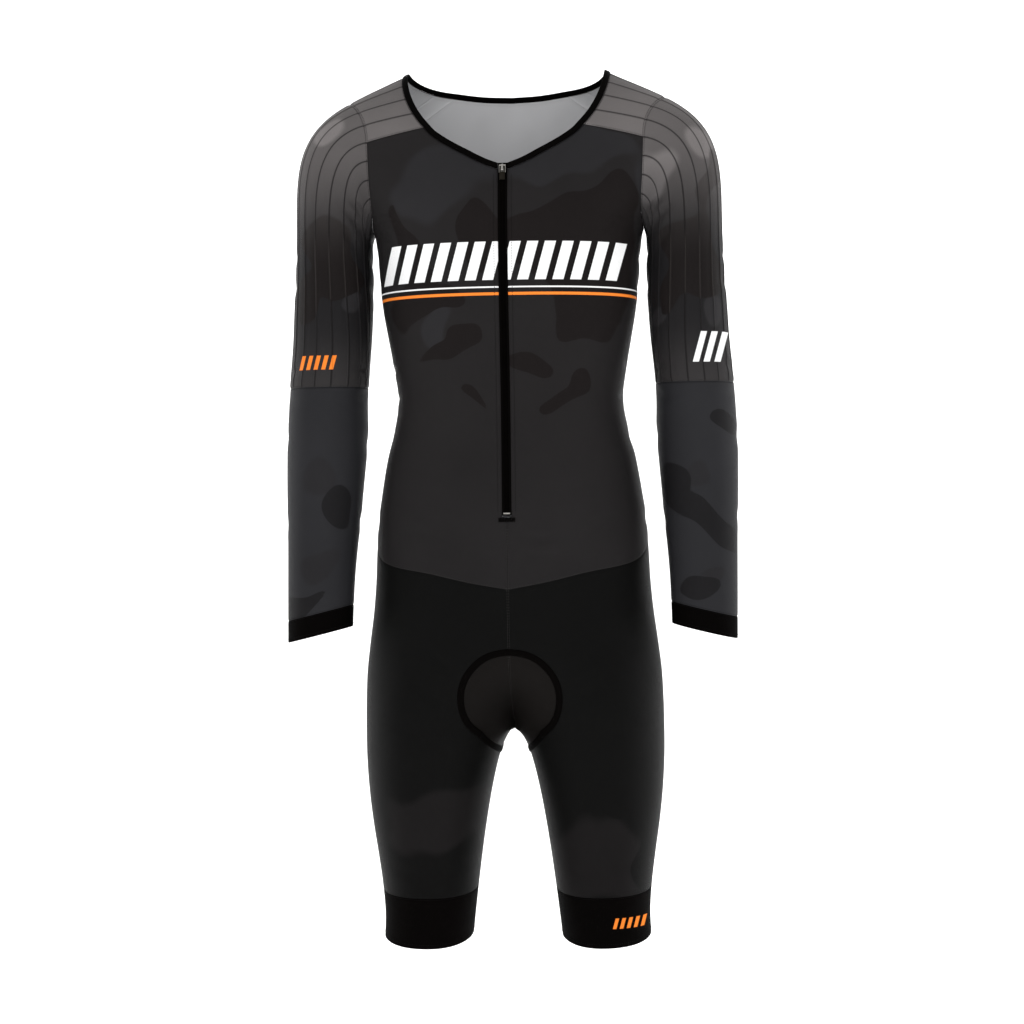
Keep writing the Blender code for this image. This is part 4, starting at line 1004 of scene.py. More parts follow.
# Cloth shells


# The finished grid of each cloth panel, on which the stitches are laid
CLOTH_GRIDS = {}


def rolled_seams(points, normal, edges, depth=0.55, width=1.5):
    """The cloth beside a sewn edge dips where the seam draws it in."""
    return points - normal * (depth * bump_at(edge_distance(points, edges), 0, width))[..., None]


def zip_tuck(points, normal, fade=4):
    """The front's edge is folded under beside the zip and stitched down: a soft ridge, then a groove."""
    near = edge_distance(points, ("first_column",))
    height = points[..., 2]
    beside = smooth_step((height - ZIP_BOTTOM_Z) / fade) * smooth_step((ZIP_TUCK_TOP_Z - height) / fade)
    rise = 0.3 * bump_at(near, 2.6, 1.3) - 0.45 * bump_at(near, TOPSTITCH, 0.75)
    return points + normal * (rise * beside)[..., None]


def creased(points, normal):
    """Adds the soft folds of CREASES to a grid of points, each with a low bank on both sides."""
    bank, bank_place, facing_share = 0.35, 1.9, 0.45
    at, facing = points.reshape(-1, 3), normal.reshape(-1, 3)
    moved = np.zeros(len(at))
    views = {
        "front": (at[:, 0], -facing[:, 1]),
        "back": (at[:, 0], facing[:, 1]),
        "left": (at[:, 1], facing[:, 0]),
        "right": (at[:, 1], -facing[:, 0]),
    }
    for side, folds in CREASES.items():
        place, look = views[side]
        seen = smooth_step(look / facing_share)
        for x1, z1, x2, z2, bow, depth, width in folds:
            line = np.array([x2 - x1, z2 - z1], float)
            length = np.linalg.norm(line)
            line = line / length
            apart = np.stack([place - x1, at[:, 2] - z1], -1)
            along = apart @ line / length
            off = np.abs(apart @ np.array([-line[1], line[0]]) - bow * 4 * along * (1 - along))
            taper = np.clip(1 - (2 * along - 1) ** 2, 0, 1) ** 1.2
            banks = bank * bump_at(off, bank_place * width, width)
            moved += seen * taper * depth * (bump_at(off, 0, width) - banks)
    return points + normal * (moved * sizes().crease_strength).reshape(points.shape[:2])[..., None]


def quads(grid):
    """The four corners of each cell of a grid of numbers."""
    return np.stack([grid[:-1, :-1], grid[1:, :-1], grid[1:, 1:], grid[:-1, 1:]], -1).reshape(-1, 4)


def open_edges(faces):
    """The edges that only one face has, each with the number of that face."""
    starts, ends = faces.ravel(), np.roll(faces, -1, axis=1).ravel()
    pairs = list(zip(starts.tolist(), ends.tolist()))
    known = set(pairs)
    owner = np.repeat(np.arange(len(faces)), 4)
    return [(a, b, owner[k]) for k, (a, b) in enumerate(pairs) if (b, a) not in known and a != b]


def rounded_rim(points, inner, normal, faces, rim, thickness):
    """Points halfway through the cloth, pushed out past its open edges."""
    middle = points[faces].mean(1)
    outward = np.zeros_like(points)
    for a, b, face in rim:
        for v in (a, b):
            outward[v] += unit(points[v] - middle[face])
    outward = unit(outward - np.sum(outward * normal, axis=1, keepdims=True) * normal)
    return (points + inner) / 2 + outward * thickness * 0.45


def new_piece(name, mesh):
    """Puts a mesh into the scene."""
    piece = bpy.data.objects.new(name, mesh)
    bpy.context.scene.collection.objects.link(piece)
    return piece


def shell(name, outer, normal, thickness, finishes, joined_from=None, values=None):
    """A thin cloth shell on a grid of outer points in millimetres: outside, inside and rounded rims.

    joined_from welds the last column to the first from that row on. values holds numbers for each
    point of the grid, which the materials read.
    """
    rows, columns = outer.shape[:2]
    count = rows * columns
    cells = np.arange(count).reshape(rows, columns)
    ids = cells.copy()
    if joined_from is not None:
        ids[joined_from:, -1] = ids[joined_from:, 0]
    faces, corners = quads(ids), quads(cells)
    points, facing = outer.reshape(-1, 3), normal.reshape(-1, 3)
    inner = points - facing * thickness
    cross = np.cross(points[faces[:, 1]] - points[faces[:, 0]], points[faces[:, 3]] - points[faces[:, 0]])
    if np.sum(cross * facing[faces[:, 0]]) < 0:
        faces, corners = faces[:, ::-1], corners[:, ::-1]
    rim = open_edges(faces)
    between = rounded_rim(points, inner, facing, faces, rim, thickness)
    rims, rim_corners = [], []
    for a, b, _ in rim:
        rims.append((b, a, a + 2 * count, b + 2 * count))
        rims.append((b + 2 * count, a + 2 * count, a + count, b + count))
        rim_corners += [(b, a, a, b)] * 2
    rims, rim_corners = np.array(rims).reshape(-1, 4), np.array(rim_corners).reshape(-1, 4)
    every = np.vstack([faces, faces[:, ::-1] + count, rims])
    cloth = cloth_map(outer).reshape(-1, 2)
    uv = np.vstack([cloth[corners.ravel()], cloth[corners[:, ::-1].ravel()], cloth[rim_corners.ravel()]])
    finish = np.concatenate([np.zeros(len(faces)), np.ones(len(faces)), np.zeros(len(rims))]).astype(int)
    used = np.unique(every)
    renumber = np.zeros(3 * count, int)
    renumber[used] = np.arange(len(used))
    stacked = np.vstack([points, inner, between])[used] * MM
    mesh = bpy.data.meshes.new(name)
    mesh.from_pydata(stacked.tolist(), [], renumber[every].tolist())
    mesh.uv_layers.new(name="cloth").data.foreach_set("uv", uv.astype(np.float32).ravel())
    for key, grid in (values or {}).items():
        numbers = np.tile(np.broadcast_to(grid, (rows, columns)).reshape(-1), 3)[used]
        mesh.attributes.new(key, "FLOAT", "POINT").data.foreach_set("value", numbers.astype(np.float32))
    for made in finishes:
        mesh.materials.append(made)
    mesh.polygons.foreach_set("material_index", finish)
    mesh.shade_smooth()
    mesh.update()
    return new_piece(name, mesh)


def mirrored(grid):
    """The same points on the wearer's right."""
    return grid * np.array([-1, 1, 1])


def on_garment(piece, node=None):
    """The piece moves with the suit and stands for its solid."""
    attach(piece, GARMENT)
    if node:
        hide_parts(node)
    return piece


def cloth_pieces(
    kind, outer, normal, thickness, finishes, edges,
    joined_from=None, values=None, sides=(1, -1), tucked=False,
):
    """The panel and its mirror image, each with its own folds and print."""
    for side in sides:
        flip = np.array([side, 1, 1])
        points, facing = outer * flip, normal * flip
        points = rolled_seams(points, facing, edges)
        points = creased(points, facing)
        if tucked:
            points = zip_tuck(points, facing)
        name = f"{kind}_{'left' if side > 0 else 'right'}" if len(sides) > 1 else kind
        numbers = dict(values or {})
        numbers.update(print_values(points))
        piece = shell(f"cloth_{name}", points, facing, thickness, finishes, joined_from, numbers)
        CLOTH_GRIDS[name] = points, facing
        on_garment(piece, name)


def patches(at, spots):
    """How strongly the patches show at each point: 1 in the middle of one, a half at its edge."""
    total = np.zeros(len(at))
    for x, y, z, half_x, half_y, half_z, turn in spots:
        angle = math.radians(turn)
        dx, dz = at[:, 0] - x, at[:, 2] - z
        u = dx * math.cos(angle) + dz * math.sin(angle)
        w = -dx * math.sin(angle) + dz * math.cos(angle)
        far = (u / half_x) ** 2 + ((at[:, 1] - y) / half_y) ** 2 + (w / half_z) ** 2
        total += np.exp(-0.693 * far)
    return total


def print_values(points):
    """The camouflage's dark and light patches at each point, with wavy edges."""
    at = points.reshape(-1, 3)
    x, z = at[:, 0], at[:, 2]
    wave_x = 7 * np.sin(z / 23 + 1.3) + 4 * np.sin(z / 9.5 + x / 31)
    wave_z = 6 * np.sin(x / 21 + 0.4) + 3.5 * np.sin(x / 8.7 - z / 37)
    at = at + np.stack([wave_x, np.zeros(len(at)), wave_z], -1)
    spots = {"camo_dark": CAMO_DARK, "camo_light": CAMO_LIGHT}
    return {key: patches(at, rows).reshape(points.shape[:2]) for key, rows in spots.items()}


# Materials

# Width and height of a knitted loop, in metres, and the look of the coarser black knit
PANEL_KNIT = (0.0009, 0.0011)
BAND_KNIT = {"knit": (0.0012, 0.0018), "bump": 0.6, "roughness": 0.65, "specular": 0.1, "ior": 1.12}

# Printed bars: how soft their edges are, in metres, and how far they lean
BAR_SOFTNESS = 0.0004
BAR_SLANT = 0.28

# The grey of the shoulders on light and dark patches, and how much of it the underarm pieces show
GREY_PALER = 1.7
GREY_DARKER = 0.72
UNDERARM_GREY = 0.6

METAL_GRAIN = 900.0
THREAD_GRAIN = 2500.0


class Nodes:
    """Adds nodes to a tree and wires them."""

    def __init__(self, tree):
        self.tree = tree

    def add(self, kind, inputs=None, **settings):
        """A node with these settings, and with its inputs set or wired."""
        node = self.tree.nodes.new(kind)
        for key, value in settings.items():
            setattr(node, key, value)
        for key, value in (inputs or {}).items():
            if isinstance(value, bpy.types.NodeSocket):
                self.wire(value, node.inputs[key])
            else:
                node.inputs[key].default_value = value
        return node

    def wire(self, start, end):
        """Joins two sockets."""
        self.tree.links.new(start, end)

    def math(self, operation, *values, clamp=False):
        """The result of a sum on numbers or sockets."""
        node = self.add("ShaderNodeMath", dict(enumerate(values)), operation=operation, use_clamp=clamp)
        return node.outputs[0]

    def plus(self, first, second):
        """The first number and the second."""
        return self.math("ADD", first, second)

    def minus(self, first, second):
        """The first number less the second."""
        return self.math("SUBTRACT", first, second)

    def times(self, first, second, clamp=False):
        """The first number times the second."""
        return self.math("MULTIPLY", first, second, clamp=clamp)

    def ramp(self, value, low, high, smooth=True):
        """0 at the low value, 1 at the high one."""
        kind = "SMOOTHSTEP" if smooth else "LINEAR"
        node = self.add("ShaderNodeMapRange", {0: value, 1: low, 2: high}, interpolation_type=kind)
        return node.outputs[0]

    def mix(self, share, first, second):
        """A blend of two colours."""
        node = self.tree.nodes.new("ShaderNodeMix")
        node.data_type = "RGBA"
        for key, value in (("Factor_Float", share), ("A_Color", first), ("B_Color", second)):
            socket = next(s for s in node.inputs if s.identifier == key)
            if isinstance(value, bpy.types.NodeSocket):
                self.wire(value, socket)
            else:
                socket.default_value = value
        return next(s for s in node.outputs if s.identifier == "Result_Color")

    def scaled(self, colour, tone):
        """A colour made paler or darker by a tone."""
        first = colour if isinstance(colour, bpy.types.NodeSocket) else colour[:3]
        return self.add("ShaderNodeVectorMath", {0: first, 3: tone}, operation="SCALE").outputs[0]

    def value(self, name):
        """A number that the mesh holds for each point."""
        return self.add("ShaderNodeAttribute", attribute_name=name).outputs["Fac"]

    def place(self):
        """Where a point lies, in the object's own metres."""
        return self.add("ShaderNodeTexCoord").outputs["Object"]


def group(name, inputs, outputs):
    """A shader node group with named sockets, and its first nodes."""
    tree = bpy.data.node_groups.get(name)
    if tree:
        return tree, None, None, None
    tree = bpy.data.node_groups.new(name, "ShaderNodeTree")
    for label, kind, default in inputs:
        socket = tree.interface.new_socket(label, in_out="INPUT", socket_type=f"NodeSocket{kind}")
        socket.default_value = default
    for label, kind in outputs:
        tree.interface.new_socket(label, in_out="OUTPUT", socket_type=f"NodeSocket{kind}")
    nodes = Nodes(tree)
    return tree, nodes, nodes.add("NodeGroupInput"), nodes.add("NodeGroupOutput")


def knit_group():
    """Fine knitted loops: their height, and a faint difference in tone."""
    tree, n, entry, leave = group(
        "knit",
        [("Wale", "Float", PANEL_KNIT[0]), ("Course", "Float", PANEL_KNIT[1])],
        [("Height", "Float"), ("Tone", "Float")],
    )
    if n is None:
        return tree
    place = n.add("ShaderNodeSeparateXYZ", {0: n.add("ShaderNodeUVMap", uv_map="cloth").outputs[0]})
    u = n.math("DIVIDE", place.outputs[0], entry.outputs["Wale"])
    v = n.math("DIVIDE", place.outputs[1], entry.outputs["Course"])
    across = n.math("ABSOLUTE", n.minus(n.math("FRACT", u), 0.5))
    leg = n.math("SINE", n.times(n.plus(v, n.times(across, 1.4)), 2 * math.pi))
    side = n.math("SINE", n.times(n.times(across, 2.0), math.pi))
    height = n.plus(n.times(leg, 0.5), n.times(side, 0.9))
    n.wire(height, leave.inputs["Height"])
    n.wire(n.ramp(height, -0.5, 1.4), leave.inputs["Tone"])
    return tree


def camouflage_group():
    """Broad soft-edged patches in two tones on a ground."""
    black = (0, 0, 0, 1)
    tree, n, entry, leave = group(
        "camouflage",
        [("Ground", "Color", black), ("Dark", "Color", black), ("Light", "Color", black)],
        [("Colour", "Color")],
    )
    if n is None:
        return tree
    rough = n.add("ShaderNodeTexNoise", {"Vector": n.place(), "Scale": 20.0, "Detail": 1.0, "Roughness": 0.4})
    shift = n.times(n.minus(rough.outputs[0], 0.5), 0.3)
    light = n.ramp(n.plus(n.value("camo_light"), shift), 0.40, 0.60)
    dark = n.ramp(n.plus(n.value("camo_dark"), shift), 0.48, 0.52)
    colour = n.mix(light, entry.outputs["Ground"], entry.outputs["Light"])
    colour = n.mix(dark, colour, entry.outputs["Dark"])
    n.wire(colour, leave.inputs["Colour"])
    return tree


def inside(n, value, low, high):
    """1 between two edges and 0 outside them, in metres."""
    first = n.times(n.minus(value, low), 1 / BAR_SOFTNESS, clamp=True)
    second = n.times(n.minus(high, value), 1 / BAR_SOFTNESS, clamp=True)
    return n.times(first, second)


def bars_group():
    """A row of slanted bars between four edges, in the object's own metres."""
    tree, n, entry, leave = group(
        "slanted_bars",
        [
            ("Left", "Float", 0.0),
            ("Right", "Float", 0.1),
            ("Bottom", "Float", 0.0),
            ("Top", "Float", 0.1),
            ("Pitch", "Float", 0.02),
            ("Share", "Float", 0.6),
            ("Slant", "Float", BAR_SLANT),
        ],
        [("Mask", "Float")],
    )
    if n is None:
        return tree
    given = entry.outputs
    at = n.add("ShaderNodeSeparateXYZ", {0: n.place()}).outputs
    x = n.minus(at[0], n.times(n.minus(at[2], given["Bottom"]), given["Slant"]))
    wide = inside(n, x, given["Left"], given["Right"])
    high = inside(n, at[2], given["Bottom"], given["Top"])
    bar_number = n.math("DIVIDE", n.minus(x, given["Left"]), given["Pitch"])
    step = n.times(n.math("FRACT", bar_number), given["Pitch"])
    bar = inside(n, step, -BAR_SOFTNESS, n.times(given["Pitch"], given["Share"]))
    front = n.ramp(n.times(at[1], -1.0), 0.0, 0.004)
    n.wire(n.times(n.times(n.times(wide, high), bar), front), leave.inputs["Mask"])
    return tree


def colour4(value):
    """A colour with its fourth number."""
    return (*value[:3], 1.0)


def new_material(name):
    """The material of that name, with its nodes and shader where it has still to be made."""
    made = bpy.data.materials.get(name)
    if made:
        return made, None, None
    made = bpy.data.materials.new(name)
    made.use_nodes = True
    return made, Nodes(made.node_tree), made.node_tree.nodes["Principled BSDF"]


def cloth_material(
    name, ground, dark=None, light=None, grey=None, line=None, patch=None, prints=(),
    knit=PANEL_KNIT, bump=0.35, roughness=0.5, sheen=0.0, specular=0.045, ior=1.5,
):
    """Stretch cloth: its print or plain colour, its knit and its sheen.

    dark and light are the camouflage's patches on the ground. grey fades in over them, line is painted
    shade along the ribs as a dark colour and a painted highlight on dark patches as a pale one, and
    patch is the colour over the seat pad. prints is a list of (edges and spacing of the bars, colour).
    """
    made, n, shader = new_material(name)
    if n is None:
        return made
    colour = colour4(ground)
    if dark is not None:
        tones = {"Ground": colour4(ground), "Dark": colour4(dark), "Light": colour4(light)}
        colour = n.add("ShaderNodeGroup", tones, node_tree=camouflage_group()).outputs["Colour"]
    if grey is not None:
        pale = colour4([min(1, c * GREY_PALER) for c in grey])
        deep = colour4([c * GREY_DARKER for c in grey])
        paler = n.mix(n.ramp(n.value("camo_light"), 0.35, 0.65), colour4(grey), pale)
        shade = n.mix(n.ramp(n.value("camo_dark"), 0.4, 0.6), paler, deep)
        colour = n.mix(n.value("fade"), colour, shade)
    if patch is not None:
        colour = n.mix(n.value("patch"), colour, colour4(patch))
    if line is not None:
        # Painted shade along the ribs, and a painted highlight on them where they cross dark patches without
        # grey
        no_grey = n.ramp(n.value("fade"), 0.1, 0.02)
        on_dark = n.times(n.ramp(n.value("camo_dark"), 0.45, 0.55), no_grey)
        rib_painted_shading = n.mix(on_dark, colour4(line[0]), colour4(line[1]))
        colour = n.mix(n.times(n.value("rib"), 0.85), colour, rib_painted_shading)
    for edges, paint in prints:
        mask = n.add("ShaderNodeGroup", edges, node_tree=bars_group()).outputs["Mask"]
        colour = n.mix(mask, colour, colour4(paint))
    loops = {"Wale": knit[0], "Course": knit[1]}
    weave = n.add("ShaderNodeGroup", loops, node_tree=knit_group()).outputs
    cloud = n.add("ShaderNodeTexNoise", {"Vector": n.place(), "Scale": 9.0, "Detail": 3.0}).outputs[0]
    tone = n.plus(n.plus(n.times(weave["Tone"], 0.35), n.times(cloud, 0.5)), 0.58)
    n.wire(n.scaled(colour, tone), shader.inputs["Base Color"])
    relief = n.add("ShaderNodeBump", {"Height": weave["Height"], "Distance": 0.0002, "Strength": bump})
    n.wire(relief.outputs[0], shader.inputs["Normal"])
    rough = n.ramp(n.plus(n.times(weave["Tone"], -0.4), cloud), -0.4, 1.2, smooth=False)
    n.wire(n.plus(n.times(rough, 0.16), roughness - 0.08), shader.inputs["Roughness"])
    shader.inputs["Sheen Weight"].default_value = sheen
    shader.inputs["Sheen Roughness"].default_value = 0.4
    shader.inputs["Specular IOR Level"].default_value = specular
    shader.inputs["IOR"].default_value = ior
    return made


def plain_material(
    name, colour, roughness, metallic=0.0, grain=METAL_GRAIN, bump=0.15, specular=0.5, low_end=None
):
    """Metal, nylon or thread, with a fine grain.

    low_end is a second colour further down, and the heights where it starts and where it is full.
    """
    made, n, shader = new_material(name)
    if n is None:
        return made
    at = n.place()
    noise = n.add("ShaderNodeTexNoise", {"Vector": at, "Scale": grain, "Detail": 3.0}).outputs[0]
    cloud = n.add("ShaderNodeTexNoise", {"Vector": at, "Scale": 120.0, "Detail": 2.0}).outputs[0]
    paint = colour4(colour)
    if low_end is not None:
        other, start, full = low_end
        height = n.add("ShaderNodeSeparateXYZ", {0: at}).outputs[2]
        paint = n.mix(n.ramp(height, start, full), paint, colour4(other))
    n.wire(n.scaled(paint, n.plus(n.times(cloud, 0.5), 0.75)), shader.inputs["Base Color"])
    n.wire(n.plus(n.times(cloud, 0.2), roughness - 0.1), shader.inputs["Roughness"])
    relief = n.add("ShaderNodeBump", {"Height": noise, "Distance": 0.0001, "Strength": bump})
    n.wire(relief.outputs[0], shader.inputs["Normal"])
    shader.inputs["Metallic"].default_value = metallic
    shader.inputs["Specular IOR Level"].default_value = specular
    return made


def thread(name, colour, specular=0.05):
    """Sewing thread."""
    return plain_material(name, colour, 0.6, grain=THREAD_GRAIN, specular=specular)


# Pieces

# The shoulder's shared lines, once they are worked out
SHOULDER = []


def shoulder_lines():
    """The shoulder's shared lines, worked out once."""
    if not SHOULDER:
        SHOULDER.append(Shoulder())
    return SHOULDER[0]


def sizes():
    """The sizes that the sidebar shows."""
    return bpy.context.scene.skinsuit_sizes


def paints():
    """The colours that the sidebar shows."""
    return bpy.context.scene.skinsuit_colours


def panel_wall():
    """Thickness of a panel, in millimetres."""
    return sizes().cloth / MM


def band_wall():
    """Thickness of a cuff or gripper, in millimetres."""
    return sizes().band / MM


def bars(left, right, bottom, top, pitch=1.0, share=1.0):
    """The edges and spacing of a row of slanted bars, or of a stripe where the pitch is left out."""
    edges = {"Left": left, "Right": right, "Bottom": bottom, "Top": top}
    return {**edges, "Pitch": pitch, "Share": share, "Slant": BAR_SLANT}


def inside_cloth():
    """The pale inside of the panels."""
    return cloth_material("inside_cloth", paints().inside, sheen=0.05, roughness=0.8)


def print_cloth():
    """Camouflage with the bars and two stripes across the chest."""
    p = paints()
    prints = (
        (bars(-0.137, 0.129, -0.212, -0.170, 0.019, 0.64), p.white_bars),
        (bars(-0.150, 0.150, -0.2205, -0.2185), p.white_bars),
        (bars(-0.150, 0.150, -0.2285, -0.2250), p.orange_bars),
    )
    return cloth_material("print_cloth", p.ground, p.dark, p.light, prints=prints)


def sleeve_cloth():
    """Camouflage that turns grey over the shoulders, with painted shade and painted highlight along the ribs,
    and small bars on both arms.
    """
    p = paints()
    prints = (
        (bars(-0.236, -0.192, -0.302, -0.286, 0.0088, 0.55), p.orange_bars),
        (bars(0.204, 0.240, -0.300, -0.266, 0.012, 0.6), p.white_bars),
    )
    # Colours of the painted shade along the ribs and of the painted highlight on them over dark patches
    line = (p.rib_painted_shade, p.rib_painted_highlight)
    return cloth_material("sleeve_cloth", p.sleeve, p.dark, p.light, grey=p.grey, line=line, prints=prints)


def forearm_cloth():
    """Camouflage of the forearms."""
    p = paints()
    return cloth_material("forearm_cloth", p.forearm, p.sleeve, p.light)


def shorts_cloth():
    """Black cloth with faint light patches, and a browner one over the pad."""
    p = paints()
    return cloth_material(
        "shorts_cloth", p.shorts, p.shorts, p.leg_light, patch=p.pad, specular=0.08, ior=1.3
    )


def band_cloth():
    """The coarser black knit of the bindings and bands."""
    return cloth_material("band_cloth", paints().black, **BAND_KNIT)


def gripper_cloth():
    """The same with a row of small bars on one leg."""
    p = paints()
    prints = ((bars(0.108, 0.146, -0.924, -0.912, 0.0076, 0.55), p.orange_bars),)
    return cloth_material("gripper_cloth", p.black, prints=prints, **BAND_KNIT)


def nylon():
    """The woven tape of the zip."""
    look = {"knit": (0.0007, 0.0007), "bump": 0.5, "roughness": 0.6, "specular": 0.1, "ior": 1.12}
    return cloth_material("zip_tape", paints().black, **look)


def make_fronts():
    """Both printed fronts."""
    z, t = front_grid(row_steps(0, TOP_ROW, GRID_STEP["trunk"]), graded(FRONT_WIDTH, GRID_STEP["trunk"]))
    finishes = (print_cloth(), inside_cloth())
    outer, normal = body(z, t), body_normal(z, t)
    cloth_pieces("front", outer, normal, panel_wall(), finishes, ALL_EDGES, tucked=True)


def make_back():
    """The back, from one half and its mirror image."""
    across = graded(BACK_HALF_WIDTH, GRID_STEP["back"], (True, False))
    z, t = back_grid(row_steps(0, TOP_ROW, GRID_STEP["trunk"]), across)
    half, normal = body(z, t), body_normal(z, t)
    outer = np.concatenate([half, mirrored(half[:, -2::-1])], axis=1)
    normal = np.concatenate([normal, mirrored(normal[:, -2::-1])], axis=1)
    finishes = (print_cloth(), inside_cloth())
    cloth_pieces("back", outer, normal, panel_wall(), finishes, ALL_EDGES, sides=(1,))


def ribbed(base, normal, shares, centres, length):
    """A grid of points with the ribs raised on it, and how much rib each point shows."""
    rib = rib_profile(shares, centres, length)[None, :] * np.ones((len(base), 1))
    ease = smooth_step((edge_distance(base, END_ROWS) - 0.3) / 3)
    rise = rib * (0.25 + 0.75 * ease) * sizes().rib_height / MM
    return base + normal * rise[..., None], rib


def make_yokes():
    """The ribbed yokes over the shoulders."""
    shoulder = shoulder_lines()
    first, last = shoulder.arc_span
    length = (last - first) * shoulder.length
    foot = RIB_FOOT / shoulder.length
    centres = [(c - first) / (last - first) for c in rib_centres() if first + foot < c < last - foot]
    over = ribbed_shares(centres, length)
    base = shoulder.yoke(graded(YOKE_WIDTH, GRID_STEP["yoke"]), over)
    normal = grid_normals(base)
    outer, rib = ribbed(base, normal, over, centres, length)
    values = {"rib": rib, "fade": look_up(FADE, "yoke", base[..., 2])}
    finishes = (sleeve_cloth(), inside_cloth())
    cloth_pieces("yoke", outer, normal, panel_wall(), finishes, ALL_EDGES, values=values)


def sleeve_rows():
    """Steps down the sleeve's cap, and levels from there to the elbow."""
    steps = graded(CAP_LENGTH, GRID_STEP["sleeve"], (True, False))
    shares = graded(CAP_RING_Z - ELBOW_Z, GRID_STEP["sleeve"], (False, True))[1:]
    return steps, CAP_RING_Z + (ELBOW_Z - CAP_RING_Z) * shares


def make_sleeves():
    """The ribbed upper sleeves and the plain pieces under the arms, cut from one closed grid."""
    shoulder = shoulder_lines()
    centres = rib_centres()
    shares = ribbed_shares(centres, shoulder.length)
    clear = 0.8 / shoulder.length
    keep = (shares > UNDERARM_SHARE + clear) & (shares < 1 - UNDERARM_SHARE - clear)
    under = graded(shoulder.length * UNDERARM_SHARE, GRID_STEP["underarm"], (False, True)) * UNDERARM_SHARE
    over = np.concatenate([[UNDERARM_SHARE], shares[keep], [1 - UNDERARM_SHARE]])
    loop = np.concatenate([over, 1 - under[::-1][1:-1], [0], under[1:-1]])
    steps, levels = sleeve_rows()
    base = np.array(shoulder.cap(loop, steps) + [arm_ring(z, ring_share(loop, z)) for z in levels])
    normal = grid_normals(base, closed=True)
    top, bottom = slice(0, len(over)), np.r_[len(over) - 1 : len(loop), 0]
    finishes = (sleeve_cloth(), inside_cloth())

    outer, rib = ribbed(base[:, top], normal[:, top], loop[top], centres, shoulder.length)
    values = {"rib": rib, "fade": look_up(FADE, "sleeve", base[:, top][..., 2])}
    cloth_pieces("sleeve", outer, normal[:, top], panel_wall(), finishes, ALL_EDGES, values=values)

    outer, facing = base[:, bottom], normal[:, bottom]
    fade = UNDERARM_GREY * look_up(FADE, "sleeve", outer[..., 2])
    values = {"rib": np.zeros(outer.shape[:2]), "fade": fade}
    cloth_pieces("underarm", outer, facing, panel_wall(), finishes, ALL_EDGES, values=values)


def tube(kind, heights, spacing, thickness, finishes, edges):
    """A piece all the way round the arm."""
    shares = np.linspace(0, 1, round(ARM_ROUND / spacing) + 1)
    base = np.array([arm_ring(z, shares) for z in heights])
    normal = grid_normals(base[:, :-1], closed=True)
    normal = np.concatenate([normal, normal[:, :1]], axis=1)
    cloth_pieces(kind, base, normal, thickness, finishes, edges, joined_from=0)


def make_forearms():
    """The smooth lower sleeves."""
    step = GRID_STEP["forearm"]
    heights = ELBOW_Z + (CUFF_TOP_Z - ELBOW_Z) * graded(ELBOW_Z - CUFF_TOP_Z, step)
    tube("forearm", heights, step, panel_wall(), (forearm_cloth(), inside_cloth()), END_ROWS)


def make_cuffs():
    """The narrow black cuffs."""
    shares = graded(CUFF_TOP_Z - CUFF_HEM_Z, GRID_STEP["cuff"])
    heights = CUFF_TOP_Z + (CUFF_HEM_Z - CUFF_TOP_Z) * shares
    finishes = (band_cloth(), band_cloth())
    tube("cuff", heights, GRID_STEP["cuff_round"], band_wall(), finishes, ("first_row",))


def make_shorts():
    """Both halves of the shorts, on rows that gather towards the crotch."""
    beside_middle = [0.0015, 0.004, 0.9985, 0.996]
    t = np.unique(np.concatenate([np.linspace(0, 1, 118), beside_middle]))
    seam_z = look_up(HIP_SEAM, "z", t)
    upper = 1 - (1 - graded(SHORTS_RISE, GRID_STEP["shorts"], (True, False))) ** 1.15
    lower = graded(CROTCH_Z - GRIPPER_TOP_Z, GRID_STEP["shorts"], (False, True))[1:] ** 1.25
    hem_z = GRIPPER_TOP_Z + GRIPPER_TOP_TILT * body(GRIPPER_TOP_Z, t)[:, 1]
    rows = [seam_z + (CROTCH_Z - seam_z) * s for s in upper]
    rows += [CROTCH_Z + (hem_z - CROTCH_Z) * s for s in lower]
    z = np.array(rows)
    t = np.broadcast_to(t, z.shape)
    points, normal = eased_crotch(body(z, t), body_normal(z, t))
    points[..., 0] = np.maximum(points[..., 0], MIDDLE_GAP)
    cloth_pieces(
        "shorts", points, normal, panel_wall(), (shorts_cloth(), inside_cloth()), END_ROWS,
        joined_from=len(upper) - 1, values={"patch": over_pad(points)},
    )


def eased_crotch(points, normal, reach=11.0, clear=5, blend=18, passes=90):
    """Rounds the form over the level where the trunk parts into two thighs, clear of the middle."""
    ease = bump_at(points[..., 2], CROTCH_Z, reach) * smooth_step((points[..., 0] - clear) / blend)
    ease = ease[1:-1, :, None]
    for _ in range(passes):
        for grid in (points, normal):
            even = (grid[:-2] + 2 * grid[1:-1] + grid[2:]) / 4
            grid[1:-1] += (even - grid[1:-1]) * ease
    return points, unit(normal)


def over_pad(points):
    """1 on the cloth inside the pad seam, 0 outside it."""
    height = points[..., 2]
    ahead = np.array([walk(row) for row in points])
    astern = ahead[:, -1:] - ahead
    share = np.zeros(height.shape)
    for rows, around in ((PAD_SEAM_FRONT, ahead), (PAD_SEAM_BACK, astern)):
        order = np.argsort(rows["z"])
        reach = np.interp(height, rows["z"][order], rows["around"][order], left=0, right=0)
        share = np.maximum(share, smooth_step((reach - around) / 3 + 0.5) * (reach > 0))
    return share


